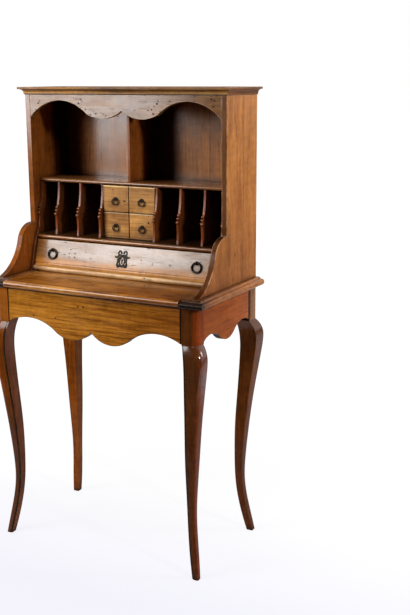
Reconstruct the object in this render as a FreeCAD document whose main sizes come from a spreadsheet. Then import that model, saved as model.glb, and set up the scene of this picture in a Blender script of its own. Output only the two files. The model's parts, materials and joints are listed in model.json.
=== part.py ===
import FreeCAD
import Part

import math
import os

# A bonheur du jour: a small writing desk on cabriole legs with a stepped upper case.
# X runs to the right, Y to the back, Z up. The origin is on the floor under the middle. Millimetres.

doc = FreeCAD.newDocument("bonheur_du_jour")

driving_sizes = {
    # posts and legs
    "post_reach_x": 317.0,
    "post_reach_y": 176.0,
    "post_width": 43.0,
    "post_round": 22.0,
    "post_height": 98.0,
    "knee_bulge": 17.5,
    "knee_shoulder": 47.0,
    "front_knee_bulge": 11.0,
    "front_knee_shoulder": 62.0,
    # writing surface
    "writing_height": 760.0,
    "top_thick": 22.0,
    "rail_overhang": 26.0,
    "rail_front_overhang": 14.5,
    "rail_lip_radius": 8.5,
    "rail_quirk": 3.5,
    "rail_setback": 1.0,
    "leaf_nose": 16.5,
    "leaf_underside_gap": 2.4,
    "leaf_tongue": 8.5,
    "leaf_tongue_height": 7.0,
    "leaf_tongue_length": 150.0,
    "leaf_travel": 140.0,
    "rear_rail_depth": 56.0,
    # aprons
    "apron_thick": 20.0,
    "side_end_drop": 93.0,
    "side_arch_drop": 82.0,
    "side_meet_drop": 98.0,
    "side_lobe_drop": 116.0,
    "rear_apron_drop": 80.0,
    "tenon_length": 14.0,
    "tenon_thick": 8.0,
    "tenon_height": 60.0,
    "tenon_top_shoulder": 14.0,
    "front_rail_depth": 21.0,
    "front_rail_height": 14.0,
    # frieze drawer
    "frieze_end_drop": 94.0,
    "frieze_arch_drop": 75.5,
    "frieze_meet_drop": 109.5,
    "frieze_lobe_drop": 124.0,
    "frieze_cusp_drop": 95.5,
    "frieze_top_gap": 1.5,
    "frieze_side_gap": 2.0,
    "frieze_tray_back_gap": 42.0,
    "frieze_tray_height": 52.0,
    "frieze_tray_side_gap": 4.0,
    "runner_top_drop": 72.5,
    "runner_thick": 9.5,
    "runner_ledge": 22.0,
    "runner_guide_height": 24.0,
    # upper case
    "cornice_height": 20.0,
    "cornice_reach": 16.0,
    "cornice_fillet": 3.0,
    "gradin_depth": 180.0,
    "side_thick": 16.0,
    "lining_thick": 8.0,
    "back_thick": 10.0,
    "outer_plank_width": 126.0,
    "scroll_reach": 159.0,
    "scroll_rise": 136.0,
    "pelmet_thick": 16.0,
    "pelmet_end_drop": 63.0,
    "pelmet_arch_drop": 16.5,
    "pelmet_meet_drop": 52.0,
    "pelmet_lobe_drop": 64.0,
    "pelmet_cusp_drop": 42.0,
    "upper_bay_height": 235.5,
    "shelf_thick": 10.0,
    "shelf_setback": 33.0,
    "pigeonhole_height": 147.5,
    "floor_thick": 13.0,
    "wide_bay_height": 75.0,
    "base_thick": 14.0,
    "base_forward": 28.5,
    "centre_divider_thick": 8.0,
    "centre_divider_setback": 2.0,
    # pigeonholes
    "divider_thick": 7.0,
    "nest_half_width": 84.5,
    "divider_setback": 12.0,
    "divider_sweep": 20.0,
    "lining_forward": 36.0,
    "nest_board_thick": 6.0,
    # drawers
    "drawer_gap": 0.8,
    "slide_gap": 0.4,
    "wide_face_top_forward": 0.5,
    "wide_face_lean": 17.5,
    "wide_flare_height": 11.0,
    "wide_flare": 7.5,
    "wide_front_back": 16.0,
    "tray_back_gap": 16.0,
    "wide_tray_drop": 12.0,
    "tray_wall": 8.0,
    "tray_floor": 5.0,
    "tray_floor_lift": 3.0,
    "small_front_setback": 28.5,
    "small_front_thick": 14.5,
    "small_front_round": 2.5,
    "small_tray_drop": 8.0,
    "small_tray_wall": 5.0,
    # hardware
    "wide_pull_inset": 58.7,
    "wide_pull_drop": 27.2,
    "wide_ring_radius": 13.0,
    "wide_ring_wire": 1.8,
    "wide_eye_standoff": 5.0,
    "small_pull_rise": 37.0,
    "small_ring_radius": 8.5,
    "small_ring_wire": 1.1,
    "small_eye_standoff": 3.6,
    "eye_clearance": 0.5,
    "escutcheon_half_width": 24.0,
    "escutcheon_half_height": 25.0,
    "escutcheon_thick": 1.6,
    "escutcheon_drop": 36.2,
    "keyhole_radius": 2.4,
    "lock_width": 48.0,
    "lock_height": 34.0,
    "lock_thick": 12.0,
    # overrun of cutting solids
    "overrun": 5.0,
}

# Outer line of a cabriole leg: shares of the knee height, and of the post width outside the post face.
leg_outer_shares = [(0, 0.04), (0.1, -0.196), (0.25, -0.468), (0.41, -0.395), (0.69, 0), (0.86, 0.33)]
# The front faces of the front legs have a slighter knee.
leg_front_shares = [*leg_outer_shares[:5], (0.86, 0.24)]
# Inner line of the same leg, measured outward from the post's inner face.
leg_inner_shares = [
    (0, 0.615),
    (0.1, 0.318),
    (0.235, 0.053),
    (0.375, -0.02),
    (0.52, -0.002),
    (0.7, 0.132),
    (0.83, 0.218),
    (0.935, 0.2),
]
# Places of the dividers on one side, as shares of the way from the nest's own divider to the lining.
divider_place_shares = (0, 0.361, 0.722)
# Front edge of a pigeonhole divider: shares of its sweep and of its height.
divider_top_shares = [(1, 1), (0.83, 0.72), (0.55, 0.556)]
divider_bead_shares = [
    [(0.26, 0.53), (0.4, 0.495)],
    [(0.08, 0.468), (0.23, 0.434)],
    [(-0.1, 0.403), (0.05, 0.366)],
]
divider_foot_shares = [(0.13, 0.16), (0, 0)]
# The lining's edge below its beads: shares of its forward reach and of its height up to the shelf.
lining_foot_shares = [(-0.28, 0.52), (0.02, 0.41), (0.33, 0.32), (0.62, 0.18)]
# Shoulder and hollow of the side panel's scroll, as shares of its reach and rise.
scroll_shoulder_shares = [(0.27, 0.912), (0.396, 0.706)]
scroll_hollow_shares = [(0.553, 0.338), (1, 0)]
# Scallops: shares of the half length at the arch top, the meeting point and the lobe.
side_scallop_shares = (0.73, 0.34)
frieze_scallop_shares = (0.752, 0.411, 0.239)
pelmet_scallop_shares = (0.678, 0.372, 0.223)
# Right half of the escutcheon, as shares of its half width and half height: points and the arcs' midpoints.
escutcheon_shares = [
    ((0, 0.74), None),
    ((0.46, 0.84), (0.2, 1)),
    ((1, 0.5), (0.68, 0.72)),
    ((0.5, 0.1), (0.66, 0.36)),
    ((0.8, -0.84), (0.7, -0.32)),
    ((0.34, -0.8), (0.56, -1)),
    ((0, -0.52), (0.16, -0.58)),
]
keyhole_drop_share = 0.3
piercing_shares = (0.36, -0.42)
# A pull eye's stem is slimmer than its ring's wire.
stem_share = 0.8

sheet = doc.addObject("Spreadsheet::Sheet", "Sizes")
for row, (alias, number) in enumerate(driving_sizes.items(), start=1):
    sheet.set(f"A{row}", alias)
    sheet.set(f"B{row}", str(number))
    sheet.setAlias(f"B{row}", alias)
doc.recompute()


def text_of(length):
    return length.text if isinstance(length, Size) else str(length)


def value_of(length):
    return length.value if isinstance(length, Size) else float(length)


class Size:
    """A length that knows its value and its expression in the sheet's cells."""

    def __init__(self, text, value):
        self.text = text
        self.value = value

    def __add__(self, other):
        return Size(f"({self.text} + {text_of(other)})", self.value + value_of(other))

    __radd__ = __add__

    def __sub__(self, other):
        return Size(f"({self.text} - {text_of(other)})", self.value - value_of(other))

    def __rsub__(self, other):
        return Size(f"({text_of(other)} - {self.text})", value_of(other) - self.value)

    def __mul__(self, share):
        return Size(f"({self.text} * {share})", self.value * share)

    __rmul__ = __mul__

    def __truediv__(self, share):
        return Size(f"({self.text} / {share})", self.value / share)

    def __neg__(self):
        return Size(f"(0 - {self.text})", -self.value)


class Cells:
    """The sheet's cells by their aliases, each as a Size."""

    def __getattr__(self, alias):
        return Size(f"Sizes.{alias}", float(sheet.get(alias)))


s = Cells()


def bind(item, prop, length):
    """Ties a property to the sheet's cells."""
    item.setExpression(prop, text_of(length))


def place(item, x, y, z):
    for axis, length in zip("xyz", (x, y, z)):
        bind(item, f"Placement.Base.{axis}", length)


def box(name, x_span, y_span, z_span):
    solid = doc.addObject("Part::Box", name)
    for prop, (low, high) in zip(("Length", "Width", "Height"), (x_span, y_span, z_span)):
        bind(solid, prop, high - low)
    place(solid, x_span[0], y_span[0], z_span[0])
    return solid


class Outline:
    """A closed outline in a sketch, drawn from point to point."""

    def __init__(self, start):
        self.start = start
        self.last = start
        self.edges = []

    def vector(self, point):
        return FreeCAD.Vector(value_of(point[0]), value_of(point[1]), 0)

    def line(self, *points):
        for point in points:
            self.edges.append(Part.LineSegment(self.vector(self.last), self.vector(point)))
            self.last = point
        return self

    def arc(self, through, end):
        self.edges.append(Part.Arc(self.vector(self.last), self.vector(through), self.vector(end)))
        self.last = end
        return self

    def curve(self, points, upright_end=False):
        """A smooth curve through the points, which may be made to end straight up."""
        places = [self.vector(point) for point in [self.last, *points]]
        slopes = [FreeCAD.Vector(0, 1, 0) for _ in places]
        flags = [upright_end and number == len(points) for number in range(len(places))]
        spline = Part.BSplineCurve()
        spline.interpolate(Points=places, Tangents=slopes, TangentFlags=flags)
        self.edges.append(spline)
        self.last = points[-1]
        return self

    def close(self):
        return self.line(self.start)


def pad(name, plane, outline, length, base=(0, 0, 0)):
    """Pads an outline from its plane: upward from XY, backward from XZ, to the right from YZ."""
    body = doc.addObject("PartDesign::Body", name)
    sketch = body.newObject("Sketcher::SketchObject", name + "_sketch")
    planes = {feature.Role: feature for feature in body.Origin.OriginFeatures}
    sketch.AttachmentSupport = (planes[plane + "_Plane"], "")
    sketch.MapMode = "FlatFace"
    for edge in outline.edges:
        sketch.addGeometry(edge, False)
    feature = body.newObject("PartDesign::Pad", name + "_pad")
    feature.Profile = sketch
    bind(feature, "Length", length)
    feature.Reversed = plane == "XZ"
    place(body, *base)
    return body


def cut(name, base, *tools):
    for number, tool in enumerate(tools, start=1):
        result = doc.addObject("Part::Cut", f"{name}_cut_{number}")
        result.Base = base
        result.Tool = tool
        base = result
    return base


def fuse(name, *pieces):
    result = doc.addObject("Part::MultiFuse", name)
    result.Shapes = list(pieces)
    result.Refine = True
    return result


def common(name, first, second):
    result = doc.addObject("Part::Common", name)
    result.Base = first
    result.Tool = second
    return result


def mirror(name, source):
    result = doc.addObject("Part::Mirroring", name)
    result.Source = source
    result.Normal = FreeCAD.Vector(1, 0, 0)
    return result


def group(name, pieces):
    result = doc.addObject("Part::Compound", name)
    result.Links = pieces
    return result


sub_parts = []


def sub_part(label, item):
    item.Label = label
    sub_parts.append(item)
    return item


def sub_part_pair(label, right):
    """Keeps a right-hand piece and its mirror image on the left."""
    left = mirror(label + "_mirrored", right)
    sub_part(label + "_right", right)
    sub_part(label + "_left", left)


# Levels and planes that the pieces share
top_under = s.writing_height - s.top_thick
knee_height = top_under - s.post_height
post_inner_x = s.post_reach_x - s.post_width
post_inner_y = s.post_reach_y - s.post_width
case_front = s.post_reach_y - s.gradin_depth
case_inner = s.post_reach_x - s.side_thick
lining_inner = case_inner - s.lining_thick
back_front = s.post_reach_y - s.back_thick
base_top = s.writing_height + s.base_thick
floor_height = base_top + s.wide_bay_height
floor_top = floor_height + s.floor_thick
shelf_height = floor_top + s.pigeonhole_height
shelf_top = shelf_height + s.shelf_thick
case_top = shelf_top + s.upper_bay_height
total_height = case_top + s.cornice_height
shelf_front = case_front + s.shelf_setback
base_front = case_front - s.base_forward
front_back = s.apron_thick - s.post_reach_y
rail_reach_x = s.post_reach_x + s.rail_overhang
rail_front = s.post_reach_y + s.rail_front_overhang
rail_inner = post_inner_x + s.rail_setback


def leg_profile(name, plane, reach, side, depth, base, front=False):
    """One sawn face of a leg: side is 1 where the outside lies towards the plus end of the axis, or -1."""
    inner = reach - s.post_width
    bulge = s.front_knee_bulge if front else s.knee_bulge
    shoulder_height = s.front_knee_shoulder if front else s.knee_shoulder
    outer_shares = leg_front_shares if front else leg_outer_shares

    def outer_point(share):
        return (side * (reach + share[1] * s.post_width), share[0] * knee_height)

    def inner_point(share):
        return (side * (inner + share[1] * s.post_width), share[0] * knee_height)

    shoulder_start = knee_height - shoulder_height
    round_radius = (bulge.value**2 + shoulder_height.value**2) / (2 * bulge.value)
    half_turn = math.asin(shoulder_height.value / round_radius) / 2
    middle_in = round_radius * (1 - math.cos(half_turn))
    middle_up = round_radius * math.sin(half_turn)
    outline = Outline(outer_point(outer_shares[0]))
    knee = (side * (reach + bulge), shoulder_start)
    outline.curve([*map(outer_point, outer_shares[1:]), knee], upright_end=True)
    shoulder = (side * (reach + bulge - middle_in), shoulder_start + middle_up)
    outline.arc(shoulder, (side * reach, knee_height))
    outline.line((side * inner, knee_height))
    outline.curve([inner_point(share) for share in reversed(leg_inner_shares)])
    outline.close()
    return pad(name, plane, outline, depth, base)


def tenon_span_z():
    high = top_under - s.tenon_top_shoulder
    return (high - s.tenon_height, high)


def side_tenon(name, end):
    """Tenon of the right side apron into the front post (end -1) or the rear post (end 1)."""
    middle = s.post_reach_x - s.apron_thick / 2
    x_span = (middle - s.tenon_thick / 2, middle + s.tenon_thick / 2)
    if end > 0:
        y_span = (post_inner_y, post_inner_y + s.tenon_length)
    else:
        y_span = (-(post_inner_y + s.tenon_length), -post_inner_y)
    return box(name, x_span, y_span, tenon_span_z())


def rear_tenon(name):
    """Tenon at the right end of the rear apron."""
    middle = s.post_reach_y - s.apron_thick / 2
    x_span = (post_inner_x, post_inner_x + s.tenon_length)
    y_span = (middle - s.tenon_thick / 2, middle + s.tenon_thick / 2)
    return box(name, x_span, y_span, tenon_span_z())


def front_rail_spans():
    y_span = (-post_inner_y - s.front_rail_depth, -post_inner_y)
    return y_span, (top_under - s.front_rail_height, top_under)


def front_lap(name):
    """Lap at the right end of the front top rail, let into the top of the post."""
    y_span, z_span = front_rail_spans()
    shoulder = s.tenon_thick / 2
    return box(
        name,
        (post_inner_x, post_inner_x + s.tenon_length),
        (y_span[0] + shoulder, y_span[1] - shoulder),
        z_span,
    )


def build_leg(where, depth_side):
    name = f"leg_{where}"
    leg_span = s.post_reach_y * 2
    x_face = leg_profile(name + "_x_face", "XZ", s.post_reach_x, 1, leg_span * 2, (0, -leg_span, 0))
    y_reach, front = s.post_reach_y, depth_side < 0
    y_face = leg_profile(name + "_y_face", "YZ", y_reach, depth_side, rail_reach_x, (0, 0, 0), front)
    lower = common(name + "_lower", x_face, y_face)
    post_z = (knee_height, top_under)
    if front:
        corner = s.post_round * (1 - math.sqrt(0.5))
        outline = Outline((post_inner_x, -post_inner_y))
        outline.line((s.post_reach_x, -post_inner_y), (s.post_reach_x, s.post_round - s.post_reach_y))
        outline.arc(
            (s.post_reach_x - corner, corner - s.post_reach_y),
            (s.post_reach_x - s.post_round, -s.post_reach_y),
        )
        outline.line((post_inner_x, -s.post_reach_y)).close()
        post = pad(name + "_post", "XY", outline, post_z[1] - post_z[0], (0, 0, knee_height))
        mortises = [side_tenon(name + "_side_mortise", -1), front_lap(name + "_lap_notch")]
    else:
        post = box(name + "_post", (post_inner_x, s.post_reach_x), (post_inner_y, s.post_reach_y), post_z)
        mortises = [side_tenon(name + "_side_mortise", 1), rear_tenon(name + "_rear_mortise")]
    whole = fuse(name + "_whole", lower, post)
    sub_part_pair(name, cut(name, whole, *mortises))


def build_aprons():
    half = post_inner_y
    arch_share, meet_share = side_scallop_shares
    arch = top_under - s.side_arch_drop
    meet = top_under - s.side_meet_drop
    foot = top_under - s.side_end_drop
    outline = Outline((-half, top_under))
    outline.line((half, top_under), (half, foot))
    outline.arc((half * arch_share, arch), (half * meet_share, meet))
    outline.arc((0, top_under - s.side_lobe_drop), (-half * meet_share, meet))
    outline.arc((-half * arch_share, arch), (-half, foot))
    outline.close()
    board = pad("side_apron_board", "YZ", outline, s.apron_thick, (s.post_reach_x - s.apron_thick, 0, 0))
    front, rear = side_tenon("side_apron_front_tenon", -1), side_tenon("side_apron_rear_tenon", 1)
    sub_part_pair("side_apron", fuse("side_apron_whole", board, front, rear))

    rear_board = box(
        "rear_apron_board",
        (-post_inner_x, post_inner_x),
        (s.post_reach_y - s.apron_thick, s.post_reach_y),
        (top_under - s.rear_apron_drop, top_under),
    )
    tenon = rear_tenon("rear_apron_tenon")
    other_tenon = mirror("rear_apron_tenon_left", tenon)
    sub_part("rear_apron", fuse("rear_apron_whole", rear_board, tenon, other_tenon))

    y_span, z_span = front_rail_spans()
    rail = box("front_top_rail_board", (-post_inner_x, post_inner_x), y_span, z_span)
    lap = front_lap("front_top_rail_lap")
    other_lap = mirror("front_top_rail_lap_left", lap)
    sub_part("front_top_rail", fuse("front_top_rail_whole", rail, lap, other_lap))


def frieze_tray_half_width():
    return post_inner_x - s.frieze_tray_side_gap


def build_runners():
    top = top_under - s.runner_top_drop
    outer = s.post_reach_x - s.apron_thick
    guide = frieze_tray_half_width() + s.drawer_gap
    ledge = guide - s.runner_ledge
    under = top - s.runner_thick
    guide_top = top + s.runner_guide_height
    outline = Outline((ledge, under))
    outline.line((outer, under), (outer, guide_top), (guide, guide_top), (guide, top), (ledge, top)).close()
    right = pad("drawer_runner_right", "XZ", outline, post_inner_y * 2, (0, -post_inner_y, 0))
    sub_part("drawer_runners", group("drawer_runner_pair", [right, mirror("drawer_runner_left", right)]))


def tray(name, half_width, middle, y_span, z_span, wall):
    """Open box of a drawer: two sides, a back and a bottom between them."""
    left = middle - half_width
    right = middle + half_width
    low = z_span[0] + s.tray_floor_lift
    front, back = y_span
    between = (left + wall, right - wall)
    pieces = [
        box(name + "_left", (left, left + wall), y_span, z_span),
        box(name + "_right", (right - wall, right), y_span, z_span),
        box(name + "_back", between, (back - wall, back), z_span),
        box(name + "_bottom", between, (front, back - wall), (low, low + s.tray_floor)),
    ]
    return group(name + "_boards", pieces)


def scalloped_outline(half, top, drops, shares):
    """A board whose lower edge has an arch at each end and two lobes that meet in a cusp."""
    foot, arch, meet, lobe, cusp = (top - drop for drop in drops)
    arch_share, meet_share, lobe_share = shares
    outline = Outline((-half, top))
    outline.line((half, top), (half, foot))
    outline.arc((half * arch_share, arch), (half * meet_share, meet))
    outline.arc((half * lobe_share, lobe), (0, cusp))
    outline.arc((-half * lobe_share, lobe), (-half * meet_share, meet))
    outline.arc((-half * arch_share, arch), (-half, foot))
    return outline.close()


def build_frieze_drawer():
    top = top_under - s.frieze_top_gap
    drops = (
        s.frieze_end_drop,
        s.frieze_arch_drop,
        s.frieze_meet_drop,
        s.frieze_lobe_drop,
        s.frieze_cusp_drop,
    )
    outline = scalloped_outline(post_inner_x - s.frieze_side_gap, top, drops, frieze_scallop_shares)
    seat = (0, -s.post_reach_y, 0)
    sub_part("frieze_drawer_front", pad("frieze_drawer_front_board", "XZ", outline, s.apron_thick, seat))
    low = top_under - s.runner_top_drop
    y_span = (front_back, s.post_reach_y - s.apron_thick - s.frieze_tray_back_gap)
    z_span = (low, low + s.frieze_tray_height)
    boards = tray("frieze_tray", frieze_tray_half_width(), 0, y_span, z_span, s.tray_wall)
    sub_part("frieze_drawer_tray", boards)


def build_table_rails():
    low = top_under
    bead = s.rail_lip_radius
    high = s.writing_height
    quarter = math.sqrt(0.5)

    def moulded(outline, edge, inward, inner):
        """Adds the moulded edge: edge is the outermost reach, inward points away from it."""
        bead_middle = edge + inward * bead
        step = bead_middle + inward * s.rail_quirk
        ovolo = high - low - bead * 2
        outline.line((bead_middle, low))
        outline.arc((edge, low + bead), (bead_middle, low + bead * 2))
        outline.line((step, low + bead * 2))
        corner = ovolo * (1 - quarter)
        outline.arc((step + inward * corner, high - corner), (step + inward * ovolo, high))
        outline.line((inner, high)).close()
        return outline

    inner = rail_inner
    across = moulded(Outline((inner, low)), rail_reach_x, -1, inner)
    along = moulded(Outline((s.post_reach_y, low)), -rail_front, 1, s.post_reach_y)
    length = rail_front + s.post_reach_y
    side_run = pad("table_rail_side_run", "XZ", across, length, (0, -rail_front, 0))
    front_run = pad("table_rail_front_run", "YZ", along, rail_reach_x - inner, (inner, 0, 0))
    board = common("table_rail_board", side_run, front_run)
    tongue_middle = (low + high) / 2
    groove_half = s.leaf_tongue_height / 2 + s.slide_gap
    leaf_back = s.post_reach_y - s.rear_rail_depth
    groove = box(
        "table_rail_groove",
        (inner - s.overrun, inner + s.leaf_tongue + s.slide_gap),
        (leaf_back - s.leaf_tongue_length - s.leaf_travel - s.slide_gap, leaf_back),
        (tongue_middle - groove_half, tongue_middle + groove_half),
    )
    sub_part_pair("table_rail", cut("table_rail", board, groove))
    rear_board = box("table_rail_rear_board", (-inner, inner), (leaf_back, s.post_reach_y), (low, high))
    sub_part("table_rail_rear", rear_board)


def nosed_board(name, half_width, y_span, z_span, nose):
    """A board across the case whose front edge is rounded to the depth of its nose."""
    front, back = y_span
    low, high = z_span
    outline = Outline((back, low))
    outline.line((front + nose, low))
    outline.arc((front, (low + high) / 2), (front + nose, high))
    outline.line((back, high)).close()
    return pad(name, "YZ", outline, half_width * 2, (-half_width, 0, 0))


def build_leaf():
    low = top_under + s.leaf_underside_gap
    high = s.writing_height - s.slide_gap
    half = rail_inner - s.slide_gap
    back = s.post_reach_y - s.rear_rail_depth - s.slide_gap
    front = -s.post_reach_y - s.leaf_nose
    board = nosed_board("writing_leaf_board", half, (front, back), (low, high), (high - low) / 2)
    middle = (top_under + s.writing_height) / 2
    tongue = box(
        "writing_leaf_tongue",
        (half, half + s.leaf_tongue),
        (back - s.leaf_tongue_length, back),
        (middle - s.leaf_tongue_height / 2, middle + s.leaf_tongue_height / 2),
    )
    other_tongue = mirror("writing_leaf_tongue_left", tongue)
    sub_part("writing_leaf", fuse("writing_leaf_whole", board, tongue, other_tongue))


def build_case_sides():
    low = s.writing_height

    def scroll_point(share):
        return (case_front - share[0] * s.scroll_reach, low + share[1] * s.scroll_rise)

    outline = Outline((s.post_reach_y, low))
    outline.line((s.post_reach_y, case_top), (case_front, case_top), (case_front, low + s.scroll_rise))
    outline.arc(*map(scroll_point, scroll_shoulder_shares))
    outline.arc(*map(scroll_point, scroll_hollow_shares))
    outline.close()
    sub_part_pair("side_panel", pad("side_panel_board", "YZ", outline, s.side_thick, (case_inner, 0, 0)))


def divider_point(share):
    return (
        case_front + s.divider_setback + share[0] * s.divider_sweep,
        floor_top + share[1] * s.pigeonhole_height,
    )


def beaded_edge(outline):
    """Draws a divider's front edge from the shelf down to the foot of its beads."""
    outline.line(divider_point(divider_top_shares[0]))
    outline.arc(*map(divider_point, divider_top_shares[1:]))
    for bead in divider_bead_shares:
        outline.arc(*map(divider_point, bead))
    return outline


def build_linings():
    reach = s.lining_forward
    rise = shelf_height - s.writing_height

    def foot_point(share):
        return (case_front - share[0] * reach, s.writing_height + share[1] * rise)

    outline = beaded_edge(Outline((back_front, s.writing_height)).line((back_front, shelf_height)))
    outline.curve([*map(foot_point, lining_foot_shares), (case_front - reach, s.writing_height)])
    outline.close()
    sub_part_pair("lining", pad("lining_board", "YZ", outline, s.lining_thick, (lining_inner, 0, 0)))


def build_case_boards():
    back_span = (case_front, back_front)
    base = nosed_board(
        "base_board", lining_inner, (base_front, back_front), (s.writing_height, base_top), s.base_thick / 4
    )
    sub_part("gradin_base_board", base)
    floor = nosed_board("floor_board", lining_inner, back_span, (floor_height, floor_top), s.floor_thick / 2)
    sub_part("pigeonhole_floor", floor)
    shelf_z = (shelf_height, shelf_top)
    shelf = nosed_board("shelf_board", case_inner, (shelf_front, back_front), shelf_z, s.shelf_thick / 2)
    sub_part("shelf", shelf)
    half = s.centre_divider_thick / 2
    divider_front = shelf_front + s.centre_divider_setback
    sub_part(
        "centre_divider",
        box("centre_divider_board", (-half, half), (divider_front, back_front), (shelf_top, case_top)),
    )
    planks = []
    joints = [-case_inner, s.outer_plank_width - case_inner, 0, case_inner - s.outer_plank_width, case_inner]
    for number, (left, right) in enumerate(zip(joints, joints[1:]), start=1):
        x_span = (left, right)
        y_span = (back_front, s.post_reach_y)
        planks.append(box(f"back_plank_{number}", x_span, y_span, (s.writing_height, case_top)))
    sub_part("back_planks", group("back_plank_set", planks))


def build_pigeonholes():
    first = s.nest_half_width + s.divider_thick / 2
    places = [first + (lining_inner - first) * share for share in divider_place_shares]
    middles = [-middle for middle in reversed(places)] + places
    for number, middle in enumerate(middles, start=1):
        outline = beaded_edge(Outline((back_front, floor_top)).line((back_front, shelf_height)))
        outline.arc(*map(divider_point, divider_foot_shares))
        outline.close()
        seat = (middle - s.divider_thick / 2, 0, 0)
        board = pad(f"divider_board_{number}", "YZ", outline, s.divider_thick, seat)
        sub_part(f"pigeonhole_divider_{number}", board)

    half = s.nest_board_thick / 2
    nest_front = case_front + s.small_front_setback + s.small_front_thick
    middle_y = (nest_front + back_front) / 2
    middle_z = nest_middle()
    upright = box("nest_upright", (-half, half), (nest_front, back_front), (floor_top, shelf_height))
    front_notch = box(
        "nest_front_notch",
        (-half - s.overrun, half + s.overrun),
        (nest_front - s.overrun, middle_y),
        (middle_z - half, middle_z + half),
    )
    sub_part("nest_partition", cut("nest_partition", upright, front_notch))
    level = box(
        "nest_level",
        (-s.nest_half_width, s.nest_half_width),
        (nest_front, back_front),
        (middle_z - half, middle_z + half),
    )
    back_notch = box(
        "nest_back_notch",
        (-half, half),
        (middle_y, back_front + s.overrun),
        (middle_z - half - s.overrun, middle_z + half + s.overrun),
    )
    sub_part("nest_shelf", cut("nest_shelf", level, back_notch))


def nest_middle():
    return (floor_top + shelf_height) / 2


def build_pelmet_and_top():
    drops = (
        s.pelmet_end_drop,
        s.pelmet_arch_drop,
        s.pelmet_meet_drop,
        s.pelmet_lobe_drop,
        s.pelmet_cusp_drop,
    )
    outline = scalloped_outline(case_inner, case_top, drops, pelmet_scallop_shares)
    sub_part("pelmet", pad("pelmet_board", "XZ", outline, s.pelmet_thick, (0, case_front, 0)))
    sub_part(
        "top_board",
        box(
            "top_board_plank",
            (-s.post_reach_x, s.post_reach_x),
            (case_front, s.post_reach_y),
            (case_top, total_height),
        ),
    )


def cornice_outline(wall, outward):
    """The cornice's section: a fillet, a hollow and a square edge, standing out from the wall."""
    fillet = s.cornice_fillet
    edge = wall + outward * s.cornice_reach
    hollow_foot = (wall + outward * fillet, case_top + fillet)
    hollow_head = (edge - outward * fillet, total_height - fillet * 2)
    run = s.cornice_reach - fillet * 2
    rise = s.cornice_height - fillet * 3
    sag = math.sqrt(0.5)
    through = (hollow_foot[0] + outward * run * (1 - sag), hollow_foot[1] + rise * sag)
    outline = Outline((wall, case_top))
    outline.line((wall + outward * fillet, case_top), hollow_foot)
    outline.arc(through, hollow_head)
    outline.line((edge, total_height - fillet * 2), (edge, total_height), (wall, total_height))
    return outline.close()


def build_cornice():
    side_edge = s.post_reach_x + s.cornice_reach
    front_edge = case_front - s.cornice_reach
    run = pad("cornice_front_run", "YZ", cornice_outline(case_front, -1), side_edge * 2, (-side_edge, 0, 0))
    plan = Outline((-s.post_reach_x, case_front))
    plan.line((s.post_reach_x, case_front), (side_edge, front_edge), (-side_edge, front_edge)).close()
    mitre = pad("cornice_front_mitre", "XY", plan, s.cornice_height, (0, 0, case_top))
    sub_part("cornice_front", common("cornice_front_piece", run, mitre))

    depth = s.post_reach_y - front_edge
    side_run = pad("cornice_side_run", "XZ", cornice_outline(s.post_reach_x, 1), depth, (0, front_edge, 0))
    side_plan = Outline((s.post_reach_x, case_front))
    side_plan.line((side_edge, front_edge), (side_edge, s.post_reach_y))
    side_plan.line((s.post_reach_x, s.post_reach_y)).close()
    side_mitre = pad("cornice_side_mitre", "XY", side_plan, s.cornice_height, (0, 0, case_top))
    sub_part_pair("cornice", common("cornice_side_piece", side_run, side_mitre))


# The wide drawer's face leans out towards its foot: its plane is set by two points.
wide_low = base_top + s.drawer_gap
wide_high = floor_height - s.drawer_gap
face_top = case_front - s.wide_face_top_forward
face_foot = face_top - s.wide_face_lean
face_foot_z = wide_low + s.wide_flare_height
face_slope = math.atan2(s.wide_face_lean.value, (wide_high - face_foot_z).value)


def wide_face_at(height):
    """The face's Y at a height."""
    return face_top.value - (wide_high - height).value * math.tan(face_slope)


def build_wide_drawer():
    half = lining_inner - s.drawer_gap
    back = case_front + s.wide_front_back
    sag = math.sqrt(0.5)
    outline = Outline((back, wide_low))
    outline.line((back, wide_high), (face_top, wide_high), (face_foot, face_foot_z))
    flare_middle = (face_foot - s.wide_flare * (1 - sag), face_foot_z - s.wide_flare_height * sag)
    outline.arc(flare_middle, (face_foot - s.wide_flare, wide_low))
    outline.close()
    sub_part("wide_drawer_front", pad("wide_drawer_front_board", "YZ", outline, half * 2, (-half, 0, 0)))
    y_span = (back, back_front - s.tray_back_gap)
    z_span = (base_top + s.slide_gap, wide_high - s.wide_tray_drop)
    sub_part("wide_drawer_tray", tray("wide_tray", half, 0, y_span, z_span, s.tray_wall))
    lock_z = (wide_high - s.wide_tray_drop - s.lock_height, wide_high - s.wide_tray_drop)
    lock_x = (-s.lock_width / 2, s.lock_width / 2)
    sub_part("drawer_lock", box("drawer_lock_case", lock_x, (back, back + s.lock_thick), lock_z))
    build_escutcheon()


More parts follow.
